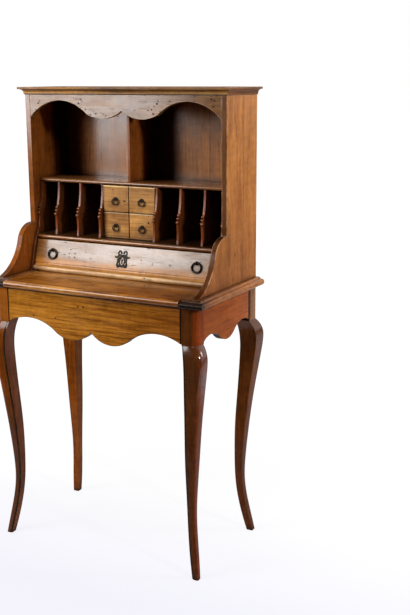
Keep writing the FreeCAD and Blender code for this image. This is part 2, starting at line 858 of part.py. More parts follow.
def build_escutcheon():
    half_width = s.escutcheon_half_width
    half_height = s.escutcheon_half_height

    def plate_point(share, side):
        return (side * half_width * share[0], half_height * share[1])

    outline = Outline(plate_point(escutcheon_shares[0][0], 1))
    for end, through in escutcheon_shares[1:]:
        outline.arc(plate_point(through, 1), plate_point(end, 1))
    ends = [end for end, _ in escutcheon_shares]
    middles = [through for _, through in escutcheon_shares[1:]]
    for end, through in zip(reversed(ends[:-1]), reversed(middles)):
        outline.arc(plate_point(through, -1), plate_point(end, -1))
    plate = pad("escutcheon_plate", "XY", outline, s.escutcheon_thick)
    holes = []
    centres = [(0, 0), plate_point(piercing_shares, -1), plate_point(piercing_shares, 1)]
    for number, (x, y) in enumerate(centres, start=1):
        hole = doc.addObject("Part::Cylinder", f"escutcheon_hole_{number}")
        bind(hole, "Radius", s.keyhole_radius)
        bind(hole, "Height", s.escutcheon_thick + s.overrun * 2)
        place(hole, x, y, -s.overrun)
        holes.append(hole)
    slot_half = s.keyhole_radius / 2
    slot = box(
        "escutcheon_key_slot",
        (-slot_half, slot_half),
        (-half_height * keyhole_drop_share, 0),
        (-s.overrun, s.escutcheon_thick + s.overrun),
    )
    pierced = cut("escutcheon", plate, slot, *holes)
    middle = wide_high - s.escutcheon_drop
    seat = FreeCAD.Vector(0, wide_face_at(middle), middle.value)
    upright = FreeCAD.Rotation(FreeCAD.Vector(1, 0, 0), 90 - math.degrees(face_slope))
    pierced.Placement = FreeCAD.Placement(seat, upright)
    sub_part("escutcheon", pierced)


def cylinder(name, radius, height, placement):
    solid = doc.addObject("Part::Cylinder", name)
    bind(solid, "Radius", radius)
    bind(solid, "Height", height)
    solid.Placement = placement
    return solid


def pull(name, seat, lean, ring_radius, wire, standoff, resting=False):
    """A rosette with an eye, and its ring: seat is the eye's middle, lean the slope of the face.

    A resting ring lies back until its foot meets the face, and another hangs straight down."""
    across = FreeCAD.Vector(1, 0, 0)
    frame = FreeCAD.Placement(seat, FreeCAD.Rotation(across, -math.degrees(lean)))
    hole = wire + s.eye_clearance
    rim = hole + wire
    width = wire * 2
    along_x = FreeCAD.Rotation(FreeCAD.Vector(0, 1, 0), 90)
    inward = FreeCAD.Rotation(across, -90)
    start = FreeCAD.Vector(-width.value / 2, 0, 0)
    disc = cylinder(name + "_disc", rim, width, frame * FreeCAD.Placement(start, along_x))
    bore = cylinder(name + "_bore", hole, width, frame * FreeCAD.Placement(start, along_x))
    stem_start = (hole + rim).value / 2
    stem_place = frame * FreeCAD.Placement(FreeCAD.Vector(0, stem_start, 0), inward)
    stem = cylinder(name + "_stem", wire * stem_share, standoff - (hole + rim) / 2, stem_place)
    rose_thick = wire * 2 / 3
    rose_place = frame * FreeCAD.Placement(FreeCAD.Vector(0, (standoff - rose_thick).value, 0), inward)
    rose = cylinder(name + "_rose", rim + wire, rose_thick, rose_place)
    eye = fuse(name + "_eye_whole", cut(name + "_eye", disc, bore), stem, rose)
    ring = doc.addObject("Part::Torus", name + "_ring")
    bind(ring, "Radius1", ring_radius)
    bind(ring, "Radius2", wire)
    play = (standoff - wire - s.slide_gap).value
    fall = math.asin(play / (ring_radius * 2).value) if resting else 0
    swing = FreeCAD.Placement(FreeCAD.Vector(), FreeCAD.Rotation(across, math.degrees(fall)))
    hang = FreeCAD.Vector(0, 0, -ring_radius.value)
    ring.Placement = frame * swing * FreeCAD.Placement(hang, FreeCAD.Rotation(across, 90))
    return eye, ring


def build_wide_pulls():
    eyes = []
    offset = lining_inner - s.drawer_gap - s.wide_pull_inset
    height = wide_high - s.wide_pull_drop
    for side, word in ((-1, "left"), (1, "right")):
        reach = s.wide_eye_standoff.value
        seat = FreeCAD.Vector(
            side * offset.value,
            wide_face_at(height) - reach * math.cos(face_slope),
            height.value + reach * math.sin(face_slope),
        )
        sizes = (s.wide_ring_radius, s.wide_ring_wire, s.wide_eye_standoff)
        eye, ring = pull(f"wide_pull_{word}", seat, face_slope, *sizes, resting=True)
        eyes.append(eye)
        sub_part(f"wide_ring_{word}", ring)
    sub_part("wide_pull_eyes", group("wide_pull_eye_pair", eyes))


def rounded_front(name, x_span, z_span, front):
    """A small drawer's front with its four face edges rounded."""
    block = box(name + "_block", x_span, (front, front + s.small_front_thick), z_span)
    doc.recompute()
    radius = s.small_front_round.value
    edges = []
    for number, edge in enumerate(block.Shape.Edges, start=1):
        if all(abs(vertex.Y - front.value) < radius / 2 for vertex in edge.Vertexes):
            edges.append((number, radius, radius))
    rounded = doc.addObject("Part::Fillet", name + "_rounded")
    rounded.Base = block
    rounded.Edges = edges
    return rounded


def build_small_drawers():
    half_board = s.nest_board_thick / 2
    front = case_front + s.small_front_setback
    back = front + s.small_front_thick
    rows = (
        (nest_middle() + s.drawer_gap, shelf_height - s.drawer_gap, nest_middle() + half_board),
        (floor_top + s.drawer_gap, nest_middle() - s.drawer_gap, floor_top),
    )
    number = 0
    for low, high, bed in rows:
        for side in (-1, 1):
            number += 1
            name = f"small_drawer_{number}"
            inner, outer = s.drawer_gap, s.nest_half_width - s.drawer_gap
            x_span = (inner, outer) if side > 0 else (-outer, -inner)
            sub_part(name + "_front", rounded_front(name, x_span, (low, high), front))
            cell_middle = (s.nest_half_width + half_board) / 2 * side
            half = (s.nest_half_width - half_board) / 2 - s.drawer_gap
            y_span = (back, back_front - s.tray_back_gap)
            z_span = (bed + s.slide_gap, high - half_board - s.small_tray_drop)
            boards = tray(name + "_box", half, cell_middle, y_span, z_span, s.small_tray_wall)
            sub_part(name + "_tray", boards)
            pull_x = (inner + outer) / 2 * side
            seat = FreeCAD.Vector(
                pull_x.value,
                (front - s.small_eye_standoff).value,
                (low + s.small_pull_rise).value,
            )
            sizes = (s.small_ring_radius, s.small_ring_wire, s.small_eye_standoff)
            eye, ring = pull(name + "_pull", seat, 0, *sizes)
            sub_part(name + "_eye", eye)
            sub_part(name + "_ring", ring)


def check_and_export():
    doc.recompute()
    for item in doc.Objects:
        if "Invalid" in item.State or "Error" in item.State:
            raise RuntimeError(f"{item.Name} failed: {item.State}")
    os.makedirs("parts", exist_ok=True)
    for item in sub_parts:
        shape = item.Shape
        if shape.isNull() or not shape.isValid() or not shape.Solids:
            raise RuntimeError(f"{item.Label} has no valid solid")
    for item in sub_parts:
        item.Shape.exportStep(f"parts/{item.Label}.step")
        print(f"{item.Label}: {len(item.Shape.Solids)} solids, {item.Shape.Volume:.0f} mm3")


build_leg("front", -1)
build_leg("rear", 1)
build_aprons()
build_runners()
build_frieze_drawer()
build_table_rails()
build_leaf()
build_case_sides()
build_linings()
build_case_boards()
build_pigeonholes()
build_pelmet_and_top()
build_cornice()
build_wide_drawer()
build_wide_pulls()
build_small_drawers()
check_and_export()
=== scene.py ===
import json
import math

import bmesh
import bpy
from mathutils import Matrix, Vector

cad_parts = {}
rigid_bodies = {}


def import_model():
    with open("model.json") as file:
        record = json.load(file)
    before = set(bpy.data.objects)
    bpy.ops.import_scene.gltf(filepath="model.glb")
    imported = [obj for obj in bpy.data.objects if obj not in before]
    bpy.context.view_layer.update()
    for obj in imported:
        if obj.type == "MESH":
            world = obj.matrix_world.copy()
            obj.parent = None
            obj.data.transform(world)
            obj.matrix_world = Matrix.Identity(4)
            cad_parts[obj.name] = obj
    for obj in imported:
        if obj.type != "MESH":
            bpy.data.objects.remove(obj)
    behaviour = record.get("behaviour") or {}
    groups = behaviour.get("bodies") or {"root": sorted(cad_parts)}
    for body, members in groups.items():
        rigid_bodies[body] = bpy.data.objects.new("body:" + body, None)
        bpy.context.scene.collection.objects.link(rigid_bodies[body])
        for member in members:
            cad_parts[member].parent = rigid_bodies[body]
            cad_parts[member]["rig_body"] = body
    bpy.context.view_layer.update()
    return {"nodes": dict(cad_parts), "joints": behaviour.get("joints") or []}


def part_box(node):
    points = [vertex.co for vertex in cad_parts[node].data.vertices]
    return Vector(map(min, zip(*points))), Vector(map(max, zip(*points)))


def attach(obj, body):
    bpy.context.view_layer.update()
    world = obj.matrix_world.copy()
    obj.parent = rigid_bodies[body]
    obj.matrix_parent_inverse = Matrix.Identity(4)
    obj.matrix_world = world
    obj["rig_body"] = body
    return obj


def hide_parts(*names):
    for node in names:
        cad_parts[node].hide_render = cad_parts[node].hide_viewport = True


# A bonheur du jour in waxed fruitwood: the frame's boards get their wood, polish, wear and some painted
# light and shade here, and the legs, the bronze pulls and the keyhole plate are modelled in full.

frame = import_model()
nodes = frame["nodes"]
scene = bpy.context.scene
print("frame loaded:", len(nodes), "nodes")


# node tree helpers

def addNode(tree, kind, inputs=None, **settings):
    node = tree.nodes.new(kind)
    for name, value in settings.items():
        setattr(node, name, value)
    for name, value in (inputs or {}).items():
        if isinstance(value, bpy.types.NodeSocket):
            tree.links.new(value, node.inputs[name])
        else:
            node.inputs[name].default_value = value
    return node


def link(kind, inputs, **settings):
    # the new node joins the tree that its given sockets lie in
    tree = next(value.id_data for value in inputs.values() if isinstance(value, bpy.types.NodeSocket))
    return addNode(tree, kind, inputs, **settings).outputs


def placeGroup(group, inputs):
    return link("ShaderNodeGroup", inputs, node_tree=group)


def coordinates(tree, kind="Object"):
    return addNode(tree, "ShaderNodeTexCoord").outputs[kind]


def axesOf(vector):
    return link("ShaderNodeSeparateXYZ", {0: vector})


def calc(operation, *values, clamp=False):
    return link("ShaderNodeMath", dict(enumerate(values)), operation=operation, use_clamp=clamp)[0]


def times(first, second, clamp=False):
    return calc("MULTIPLY", first, second, clamp=clamp)


def vectorCalc(operation, *values):
    made = link("ShaderNodeVectorMath", dict(enumerate(values)), operation=operation)
    return made["Value" if operation in ("LENGTH", "DOT_PRODUCT") else "Vector"]


def scaled(vector, scale):
    return vectorCalc("MULTIPLY", vector, scale)


def noise(vector, scale, detail, roughness=0.5):
    inputs = {"Vector": vector, "Scale": scale, "Detail": detail, "Roughness": roughness}
    return link("ShaderNodeTexNoise", inputs, noise_dimensions="3D")["Fac"]


def grainNoise(along, lengthwise, across, detail, roughness=0.5):
    return noise(scaled(along, (lengthwise, across, across)), 1.0, detail, roughness)


def remap(value, low, high, newLow=0.0, newHigh=1.0):
    inputs = {"Value": value, 1: low, 2: high, 3: newLow, 4: newHigh}
    return link("ShaderNodeMapRange", inputs, clamp=True)["Result"]


def blendColours(factor, first, second, kind="MIX"):
    inputs = {0: factor, 6: first, 7: second}
    return link("ShaderNodeMix", inputs, data_type="RGBA", blend_type=kind)[2]


def blendValues(factor, first, second):
    return link("ShaderNodeMix", {0: factor, 2: first, 3: second}, data_type="FLOAT")[0]


def bumped(height, distance, strength, under=None):
    inputs = {"Height": height, "Distance": distance, "Strength": strength}
    if under:
        inputs["Normal"] = under
    return link("ShaderNodeBump", inputs)["Normal"]


def addSurface(inputs):
    link("ShaderNodeOutputMaterial", {"Surface": link("ShaderNodeBsdfPrincipled", inputs)["BSDF"]})


def newMaterial(name):
    material = bpy.data.materials.new(name)
    material.use_nodes = True
    material.node_tree.nodes.clear()
    return material, material.node_tree


def newGroup(name, given, made):
    group = bpy.data.node_groups.new(name, "ShaderNodeTree")
    for way, sockets in (("INPUT", given), ("OUTPUT", made)):
        for kind, labels in sockets.items():
            for label in labels:
                group.interface.new_socket(label, in_out=way, socket_type="NodeSocket" + kind)
    return group, group.nodes.new("NodeGroupInput").outputs, group.nodes.new("NodeGroupOutput").inputs


# grain of the fruitwood: X of the coordinates runs along the grain, in metres
grainShape = {
    "waver": (2.2, 7.0, 7.0),  # scales run along the grain, then across it
    "wander": (0.0, 0.06, 0.06),
    "ringScale": 160.0,
    "ringGain": 1.6,
    # the amount's socket and the gain, then scale along and across, detail and roughness
    "layers": {
        "streaks": ("Streaks", 1.5, 8.0, 230.0, 3.0, 0.65),
        "fibres": ("Streaks", 0.6, 45.0, 900.0, 2.0, 0.5),
        "ripple": ("Ripple", 1.6, 95.0, 20.0, 2.0, 0.5),
        "patches": ("Blotches", 2.2, 4.0, 13.0, 4.0, 0.62),
    },
    "pores": (60.0, 1500.0, 1.0),
    "poreRange": (0.6, 0.72),
    "poreShade": 0.4,
    "poreDepth": -0.6,
    "streakHeight": 0.5,
    "spill": (9.0, 16.0, 5.0, 0.7),
    "spillRange": (0.52, 0.74),
}


def buildGrainGroup():
    group, given, made = newGroup(
        "fruitwoodGrain",
        {
            "Vector": ["Coordinates"],
            "Color": ["Light", "Dark", "Stain"],
            "Float": ["Rings", "Streaks", "Ripple", "Blotches", "Stains"],
        },
        {"Color": ["Color"], "Float": ["Height"]},
    )
    along = given["Coordinates"]
    # the trunk's rings, wavering along the board
    bends = {"Vector": scaled(along, grainShape["waver"]), "Scale": 1.0, "Detail": 3.0}
    waver = link("ShaderNodeTexNoise", bends)["Color"]
    shift = scaled(vectorCalc("ADD", waver, (-0.5, -0.5, -0.5)), grainShape["wander"])
    across = scaled(vectorCalc("ADD", shift, along), (0.0, 1.0, 1.0))
    fromHeart = times(vectorCalc("LENGTH", across), grainShape["ringScale"])
    years = {"W": fromHeart, "Scale": 1.0, "Detail": 3.0, "Roughness": 0.6}
    rings = link("ShaderNodeTexNoise", years, noise_dimensions="1D")["Fac"]
    layers = {"rings": (rings, "Rings", grainShape["ringGain"])}
    for name, (amount, gain, *shape) in grainShape["layers"].items():
        layers[name] = (grainNoise(along, *shape), amount, gain)
    figure = 0.5
    for layer, amount, gain in layers.values():
        swing = times(calc("SUBTRACT", layer, 0.5), gain)
        figure = calc("MULTIPLY_ADD", swing, given[amount], figure)
    board = blendColours(remap(figure, 0.0, 1.0), given["Dark"], given["Light"])
    pores = remap(grainNoise(along, *grainShape["pores"]), *grainShape["poreRange"])
    board = blendColours(times(pores, grainShape["poreShade"]), board, given["Dark"])
    spill = remap(grainNoise(along, *grainShape["spill"]), *grainShape["spillRange"])
    spilled = times(spill, given["Stains"])
    group.links.new(blendColours(spilled, board, given["Stain"]), made["Color"])
    height = times(layers["streaks"][0], grainShape["streakHeight"])
    height = calc("MULTIPLY_ADD", pores, grainShape["poreDepth"], height)
    group.links.new(height, made["Height"])
    return group


# wear: pale rubbed edges, dark wax in the corners with their painted shade, and wormholes
wearShape = {
    "edgeTurn": (0.97, 0.8),  # agreement of the flat and the rounded normal, from fresh to worn
    "rubs": (26.0, 4.0, 0.65),  # scale, detail and roughness
    "rubRange": (0.36, 0.62),
    "cornerReach": 0.03,
    "cornerRange": (0.85, 0.35),
    "holeScale": 34.0,
    "holeRim": (0.06, 0.035),
}


def buildWearGroup():
    group, given, made = newGroup(
        "waxAndWear",
        {
            "Color": ["Color", "Rubbed", "Grime"],
            "Float": ["Edge Width", "Edge Wear", "Corner Wax And Shade", "Wormholes"],
        },
        {"Color": ["Color"], "Float": ["Dulled", "Holes"]},
    )
    place = coordinates(group)
    flat = addNode(group, "ShaderNodeNewGeometry").outputs["Normal"]
    rounded = link("ShaderNodeBevel", {"Radius": given["Edge Width"]}, samples=4)["Normal"]
    edge = remap(vectorCalc("DOT_PRODUCT", flat, rounded), *wearShape["edgeTurn"])
    rubs = remap(noise(place, *wearShape["rubs"]), *wearShape["rubRange"])
    worn = times(times(edge, rubs), given["Edge Wear"], clamp=True)
    # corners and gaps darken by how enclosed they are: wax in the hollows and painted shade
    reach = {"Distance": wearShape["cornerReach"]}
    openness = addNode(group, "ShaderNodeAmbientOcclusion", reach, samples=6).outputs["AO"]
    corner = remap(openness, *wearShape["cornerRange"])
    grime = times(corner, given["Corner Wax And Shade"], clamp=True)
    cellShape = {"Vector": place, "Scale": wearShape["holeScale"], "Randomness": 1.0}
    cells = link("ShaderNodeTexVoronoi", cellShape)
    picked = link("ShaderNodeSeparateColor", {"Color": cells["Color"]})[0]
    chosen = calc("LESS_THAN", picked, given["Wormholes"])
    hole = times(remap(cells["Distance"], *wearShape["holeRim"]), chosen)
    rubbed = blendColours(worn, given["Color"], given["Rubbed"])
    waxedAndShaded = blendColours(grime, rubbed, given["Grime"])
    group.links.new(blendColours(hole, waxedAndShaded, given["Grime"]), made["Color"])
    group.links.new(calc("MAXIMUM", grime, hole), made["Dulled"])
    group.links.new(hole, made["Holes"])
    return group


# age: ink-dark specks and dashes, hairline cracks along the grain and dull patches in the polish
ageShape = {
    "speckStretch": 0.7,
    "speckScale": 78.0,
    "speckSizes": (0.07, 0.19),
    "crowd": (9.0, 2.0),  # scale and detail of the places where specks gather
    "crowdRange": (0.42, 0.62),
    "dashes": (26.0, 330.0, 1.0),  # scale along and across the grain, then detail and roughness
    "dashesRange": (0.64, 0.7),
    "lines": (1.1, 13.0, 3.0),
    "lineRange": (0.004, 0.0015),
    "cracked": (3.0, 8.0, 2.0),
    "crackedRange": (0.53, 0.56),
    "dull": (8.0, 26.0, 5.0, 0.65),
    "dullRange": (0.45, 0.68),
}


def buildAgeGroup():
    group, given, made = newGroup(
        "ageMarks",
        {"Vector": ["Coordinates"], "Float": ["Specks", "Dashes", "Cracks"]},
        {"Float": ["Marks", "Dull"]},
    )
    along = given["Coordinates"]

    def layer(name):
        return remap(grainNoise(along, *ageShape[name]), *ageShape[name + "Range"])

    # one coordinate along the grain and one across, so that the specks lie flat on any face
    parts = axesOf(along)
    flat = {"X": times(parts["X"], ageShape["speckStretch"]), "Y": calc("ADD", parts["Y"], parts["Z"])}
    onFace = link("ShaderNodeCombineXYZ", flat)["Vector"]
    spotShape = {"Vector": onFace, "Scale": ageShape["speckScale"]}
    spots = link("ShaderNodeTexVoronoi", spotShape, voronoi_dimensions="2D")
    picked = link("ShaderNodeSeparateColor", {"Color": spots["Color"]})
    size = remap(picked[1], 0.0, 1.0, *ageShape["speckSizes"])
    near = calc("LESS_THAN", spots["Distance"], size)
    crowd = remap(noise(along, *ageShape["crowd"]), *ageShape["crowdRange"])
    chosen = calc("LESS_THAN", picked[0], times(given["Specks"], crowd))
    speck = times(near, chosen)
    dash = times(layer("dashes"), given["Dashes"])
    fromLine = calc("SUBTRACT", grainNoise(along, *ageShape["lines"]), 0.5)
    line = remap(calc("ABSOLUTE", fromLine), *ageShape["lineRange"])
    crack = times(times(line, layer("cracked")), given["Cracks"])
    marks = calc("MAXIMUM", calc("MAXIMUM", speck, dash), crack)
    group.links.new(marks, made["Marks"])
    group.links.new(layer("dull"), made["Dull"])
    return group


grainGroup = buildGrainGroup()
wearGroup = buildWearGroup()
ageGroup = buildAgeGroup()
print("wood and wear groups built")


# turns that bring the grain onto the group's X
grainTurns = {
    "X": (0.0, 0.0, 0.0),
    "Y": (0.0, 0.0, -math.pi / 2),
    "Z": (0.0, math.pi / 2, 0.0),
}

woodLook = {
    "light": (0.52, 0.205, 0.03),
    "dark": (0.2, 0.062, 0.009),
    "stain": (0.07, 0.02, 0.004),
    "rubbed": (0.62, 0.36, 0.15),
    "grime": (0.016, 0.006, 0.002),
    "rings": 0.5,
    "streaks": 0.9,
    "ripple": 0.4,
    "blotches": 0.8,
    "stains": 0.4,
    "gloss": 0.2,  # roughness of the polished wax
    "dull": 0.5,  # roughness where wax has filled a corner
    "shine": 0.5,
    "edgeWidth": 0.0022,
    "edgeWear": 0.55,
    "grimeAmount": 0.85,
    "wormholes": 0.12,
    "relief": 0.0001,
    "sway": 0.0006,  # height of the board's slow unevenness
    # by place, by facing, or by place on faces turned one way: axis, from, to and the tint at the far end;
    # many of these tints are painted light and shade
    "tints": (),
    "wears": (),  # where the edges are rubbed: axis, from none and to all
    "seams": (),  # dark joint lines across the board: axis, place and half width
    "coats": (),  # where the wax lies thick: axis, from, to and the added weight
    "coatGloss": 0.15,
    "endGrain": (0.3, 0.26, 0.24),
    "specks": 0.02,
    "dashes": 0.4,
    "cracks": 0.3,
    "patina": 0.16,  # roughness that the dull patches add
}


# faces that a tint can keep to: the normal's axis, from none and to all
turnedTo = {"front": ("Y", -0.2, -0.6), "top": ("Z", 0.6, 0.9), "right": ("X", 0.2, 0.6)}
# each board comes from another place in the tree: the reach of its random number
plankShifts = {"X": (0.0, 9.0), "Y": (-0.09, 0.12), "Z": (0.16, -0.1)}
waxShape = {
    "seamCore": 0.4,  # share of a seam's half width that is fully dark
    "endRange": (0.7, 0.95),
    "smears": (17.0, 4.0, 0.6),  # scale, detail and roughness
    "smearRange": (0.3, 0.7),
    "smearGloss": (-0.04, 0.08),  # roughness that the smears take off and add
    "sway": (16.0, 1.0),
    "holeDepth": -4.0,
    "markDepth": -2.0,
    "strength": 0.6,
}


def opaque(colour):
    return (*colour, 1)


def tinted(colour, factor, tint):
    return blendColours(factor, colour, blendColours(1.0, colour, opaque(tint), "MULTIPLY"))


def fruitwood(name, grain, **changes):
    look = {**woodLook, **changes}
    material, tree = newMaterial(name)
    place = coordinates(tree)
    chance = addNode(tree, "ShaderNodeObjectInfo").outputs["Random"]
    turned = link("ShaderNodeMapping", {"Vector": place, "Rotation": grainTurns[grain]})
    shifts = {axis: remap(chance, 0.0, 1.0, *ends) for axis, ends in plankShifts.items()}
    plank = link("ShaderNodeCombineXYZ", shifts)["Vector"]
    spot = vectorCalc("ADD", turned["Vector"], plank)
    colours = {key.capitalize(): opaque(look[key]) for key in ("light", "dark", "stain")}
    amounts = {key.capitalize(): look[key] for key in ("rings", "streaks", "ripple", "blotches", "stains")}
    wood = placeGroup(grainGroup, {"Coordinates": spot, **colours, **amounts})
    amounts = {key.capitalize(): look[key] for key in ("specks", "dashes", "cracks")}
    age = placeGroup(ageGroup, {"Coordinates": spot, **amounts})
    grime = opaque(look["grime"])
    colour = blendColours(age["Marks"], wood["Color"], grime)
    byPlace, byFacing = axesOf(place), axesOf(coordinates(tree, "Normal"))
    for kind, axis, start, end, tint in look["tints"]:
        amount = remap((byFacing if kind == "facing" else byPlace)[axis], start, end)
        if kind in turnedTo:
            way, low, high = turnedTo[kind]
            amount = times(amount, remap(byFacing[way], low, high))
        colour = tinted(colour, amount, tint)
    for axis, middle, half in look["seams"]:
        off = calc("ABSOLUTE", calc("SUBTRACT", byPlace[axis], middle))
        colour = blendColours(remap(off, half, half * waxShape["seamCore"]), colour, grime)
    across = calc("ABSOLUTE", byFacing[grain])
    colour = tinted(colour, remap(across, *waxShape["endRange"]), look["endGrain"])
    rubbing = look["edgeWear"]
    for axis, start, end in look["wears"]:
        rubbing = times(rubbing, remap(byPlace[axis], start, end))
    worn = placeGroup(
        wearGroup,
        {
            "Color": colour,
            "Rubbed": opaque(look["rubbed"]),
            "Grime": grime,
            "Edge Width": look["edgeWidth"],
            "Edge Wear": rubbing,
            "Corner Wax And Shade": look["grimeAmount"],
            "Wormholes": look["wormholes"],
        },
    )
    smears = noise(place, *waxShape["smears"])
    glosses = [look["gloss"] + change for change in waxShape["smearGloss"]]
    polish = remap(smears, *waxShape["smearRange"], *glosses)
    polish = calc("MULTIPLY_ADD", age["Dull"], look["patina"], polish)
    rough = blendValues(calc("MAXIMUM", worn["Dulled"], age["Marks"]), polish, look["dull"])
    wax = 0.0  # a plain value where no wax lies thick
    for axis, start, end, added in look["coats"]:
        wax = calc("ADD", wax, remap(byPlace[axis], start, end, 0.0, added))
    if look["coats"]:
        bare = calc("MAXIMUM", times(age["Dull"], look["patina"] * 2), age["Marks"])
        wax = times(wax, calc("SUBTRACT", 1.0, bare), clamp=True)
    sway = noise(place, *waxShape["sway"])
    uneven = bumped(sway, look["sway"], 1.0)
    height = calc("MULTIPLY_ADD", worn["Holes"], waxShape["holeDepth"], wood["Height"])
    height = calc("MULTIPLY_ADD", age["Marks"], waxShape["markDepth"], height)
    addSurface(
        {
            "Base Color": worn["Color"],
            "Roughness": rough,
            "Specular IOR Level": look["shine"],
            "Normal": bumped(height, look["relief"], waxShape["strength"], uneven),
            "Coat Weight": wax,
            "Coat Roughness": look["coatGloss"],
        }
    )
    return material


# woods of the desk, by the way their grain runs
goldAcross = fruitwood("goldenBoardAcross", "X", light=(0.42, 0.16, 0.028), dark=(0.16, 0.05, 0.008))
shelfWood = fruitwood(
    "shelfWood", "X", light=(0.26, 0.1, 0.028), dark=(0.11, 0.037, 0.009), gloss=0.24, shine=0.3,
    patina=0.06,
    coats=[("X", 0.26, 0.08, 0.95), ("X", -0.1, -0.22, -0.6)],
    coatGloss=0.24,
)
floorWood = fruitwood(
    "pigeonholeFloorWood", "X", light=(0.42, 0.16, 0.03), dark=(0.16, 0.05, 0.009), shine=0.7,
    tints=[
        # the top darkened: painted shade inside the pigeonholes
        ("facing", "Z", 0.6, 0.9, (0.17, 0.16, 0.14)),
        ("place", "X", 0.06, 0.18, (0.6, 0.5, 0.4)),
    ],
)
topWood = fruitwood(
    "dustyTopWood", "X", light=(0.3, 0.13, 0.035), dark=(0.12, 0.045, 0.011), gloss=0.6, dull=0.8, shine=0.12
)
corniceWood = fruitwood(
    "corniceWood", "X", light=(0.3, 0.135, 0.03), dark=(0.09, 0.034, 0.008), stains=0.6, shine=0.2,
    gloss=0.3, edgeWear=0.9, grimeAmount=1.2,
    tints=[
        ("facing", "Z", 0.5, 0.85, (0.55, 0.5, 0.46)),
        # lighter to the left: painted sheen; a light line and darker wood below it near the lower edge:
        # painted highlight and shadow of a fillet
        ("place", "X", 0.0, -0.25, (1.5, 1.5, 1.6)),
        ("place", "Z", 1.2645, 1.2625, (2.2, 2.5, 3.0)),
        ("place", "Z", 1.2585, 1.2572, (0.3, 0.28, 0.28)),
    ],
)
corniceSideWood = fruitwood(
    "corniceSideWood", "Y", light=(0.3, 0.11, 0.028), dark=(0.11, 0.038, 0.01), stains=0.6, shine=0.15,
    edgeWear=0.9,
)
# the pelmet: its pale rubbed edges are wear and partly a painted highlight
pelmetWood = fruitwood(
    "pelmetWood", "X", light=(0.3, 0.13, 0.03), dark=(0.11, 0.04, 0.01), rubbed=(0.95, 0.74, 0.48),
    edgeWidth=0.004, edgeWear=0.9, dull=0.75, wormholes=0.6, stains=0.6, shine=0.12, gloss=0.24,
    specks=1.0, dashes=0.5, cracks=0.6, streaks=1.2, patina=0.2,
    coats=[("X", 0.32, 0.1, 0.9)],
)
wideDrawerWood = fruitwood(
    "wideDrawerWood", "X", light=(0.31, 0.14, 0.034), dark=(0.11, 0.042, 0.009), dull=0.8,
    wormholes=0.5, stains=0.5, shine=0.36, gloss=0.18, specks=0.2, dashes=0.4, cracks=0.9, patina=0.2,
    tints=[
        ("place", "Z", 0.804, 0.792, (2.0, 1.9, 1.7)),
        ("place", "X", -0.25, -0.285, (1.8, 1.7, 1.4)),
    ],
    coats=[
        ("Z", 0.79, 0.806, 1.1),
        ("X", 0.08, 0.28, -0.6),
        ("X", 0.22, 0.285, -0.25),
        ("X", -0.02, -0.16, -0.4),
    ],
)
# the base board: its pale colour partly paints the nose's highlight, which fades to the right
baseBoardWood = fruitwood(
    "baseBoardWood", "X", light=(0.82, 0.5, 0.23), dark=(0.42, 0.2, 0.06), rubbed=(0.92, 0.68, 0.42),
    edgeWear=1.0, streaks=1.4, shine=0.5, gloss=0.26, grimeAmount=0.25,
    tints=[("place", "X", 0.12, 0.27, (0.62, 0.52, 0.42))],
)
panelWood = fruitwood(
    "sidePanelWood", "Z", light=(0.69, 0.27, 0.064), dark=(0.29, 0.092, 0.02), rubbed=(0.8, 0.5, 0.26),
    edgeWidth=0.005, edgeWear=1.3, rings=0.5, streaks=0.8, ripple=0.3, blotches=0.7, stains=0.25,
    shine=0.14, wormholes=0.0, dashes=0.2,
    tints=[
        ("place", "Z", 1.1, 0.76, (0.72, 0.65, 0.6)),
        ("place", "Y", 0.05, 0.0, (0.82, 0.8, 0.76)),
        # faces turned away from the right-hand lamps darker: painted shade
        ("facing", "X", 0.6, 0.2, (0.3, 0.26, 0.27)),
        ("front", "Z", 0.802, 0.776, (1.9, 1.9, 1.5)),
    ],
    wears=[("X", 0.288, 0.292), ("Z", 0.772, 0.79)],
    seams=[("Y", 0.092, 0.0009)],
    cracks=0.5,
)
leftPanelWood = fruitwood(
    "leftPanelWood", "Z", light=(0.32, 0.094, 0.014), dark=(0.12, 0.03, 0.005), shine=0.1, stains=0.6,
    tints=[
        ("place", "Z", 1.0, 0.84, (1.3, 1.25, 1.1)),
        # the inner face's rear part darkened: painted shadow of the centre divider
        ("right", "Y", 0.088, 0.108, (0.14, 0.12, 0.12)),
    ],
    coats=[("Z", 1.04, 1.21, 0.9), ("Y", 0.0, 0.006, -0.9)],
)
railWood = fruitwood(
    "sideRailWood", "Y", light=(0.5, 0.185, 0.045), dark=(0.2, 0.06, 0.013), streaks=0.9, shine=0.14,
    edgeWear=0.9,
    tints=[
        ("place", "Y", -0.11, -0.165, (0.5, 0.46, 0.44)),
        ("place", "Y", -0.174, -0.18, (0.2, 0.22, 0.24)),
        ("top", "Y", -0.07, -0.12, (0.45, 0.42, 0.38)),
    ],
)
sideApronWood = fruitwood(
    "sideApronWood", "Y", light=(0.51, 0.128, 0.018), dark=(0.21, 0.043, 0.006), streaks=0.5,
    ripple=0.1, blotches=0.6, shine=0.06,
    tints=[
        # the undersides darkened: painted shade
        ("facing", "Z", -0.2, -0.5, (0.12, 0.1, 0.1)),
        ("place", "Y", 0.05, -0.1, (0.76, 0.75, 0.72)),
    ],
    seams=[("Y", 0.131, 0.006)],
    coats=[("Y", 0.0, 0.12, 0.25)],
)
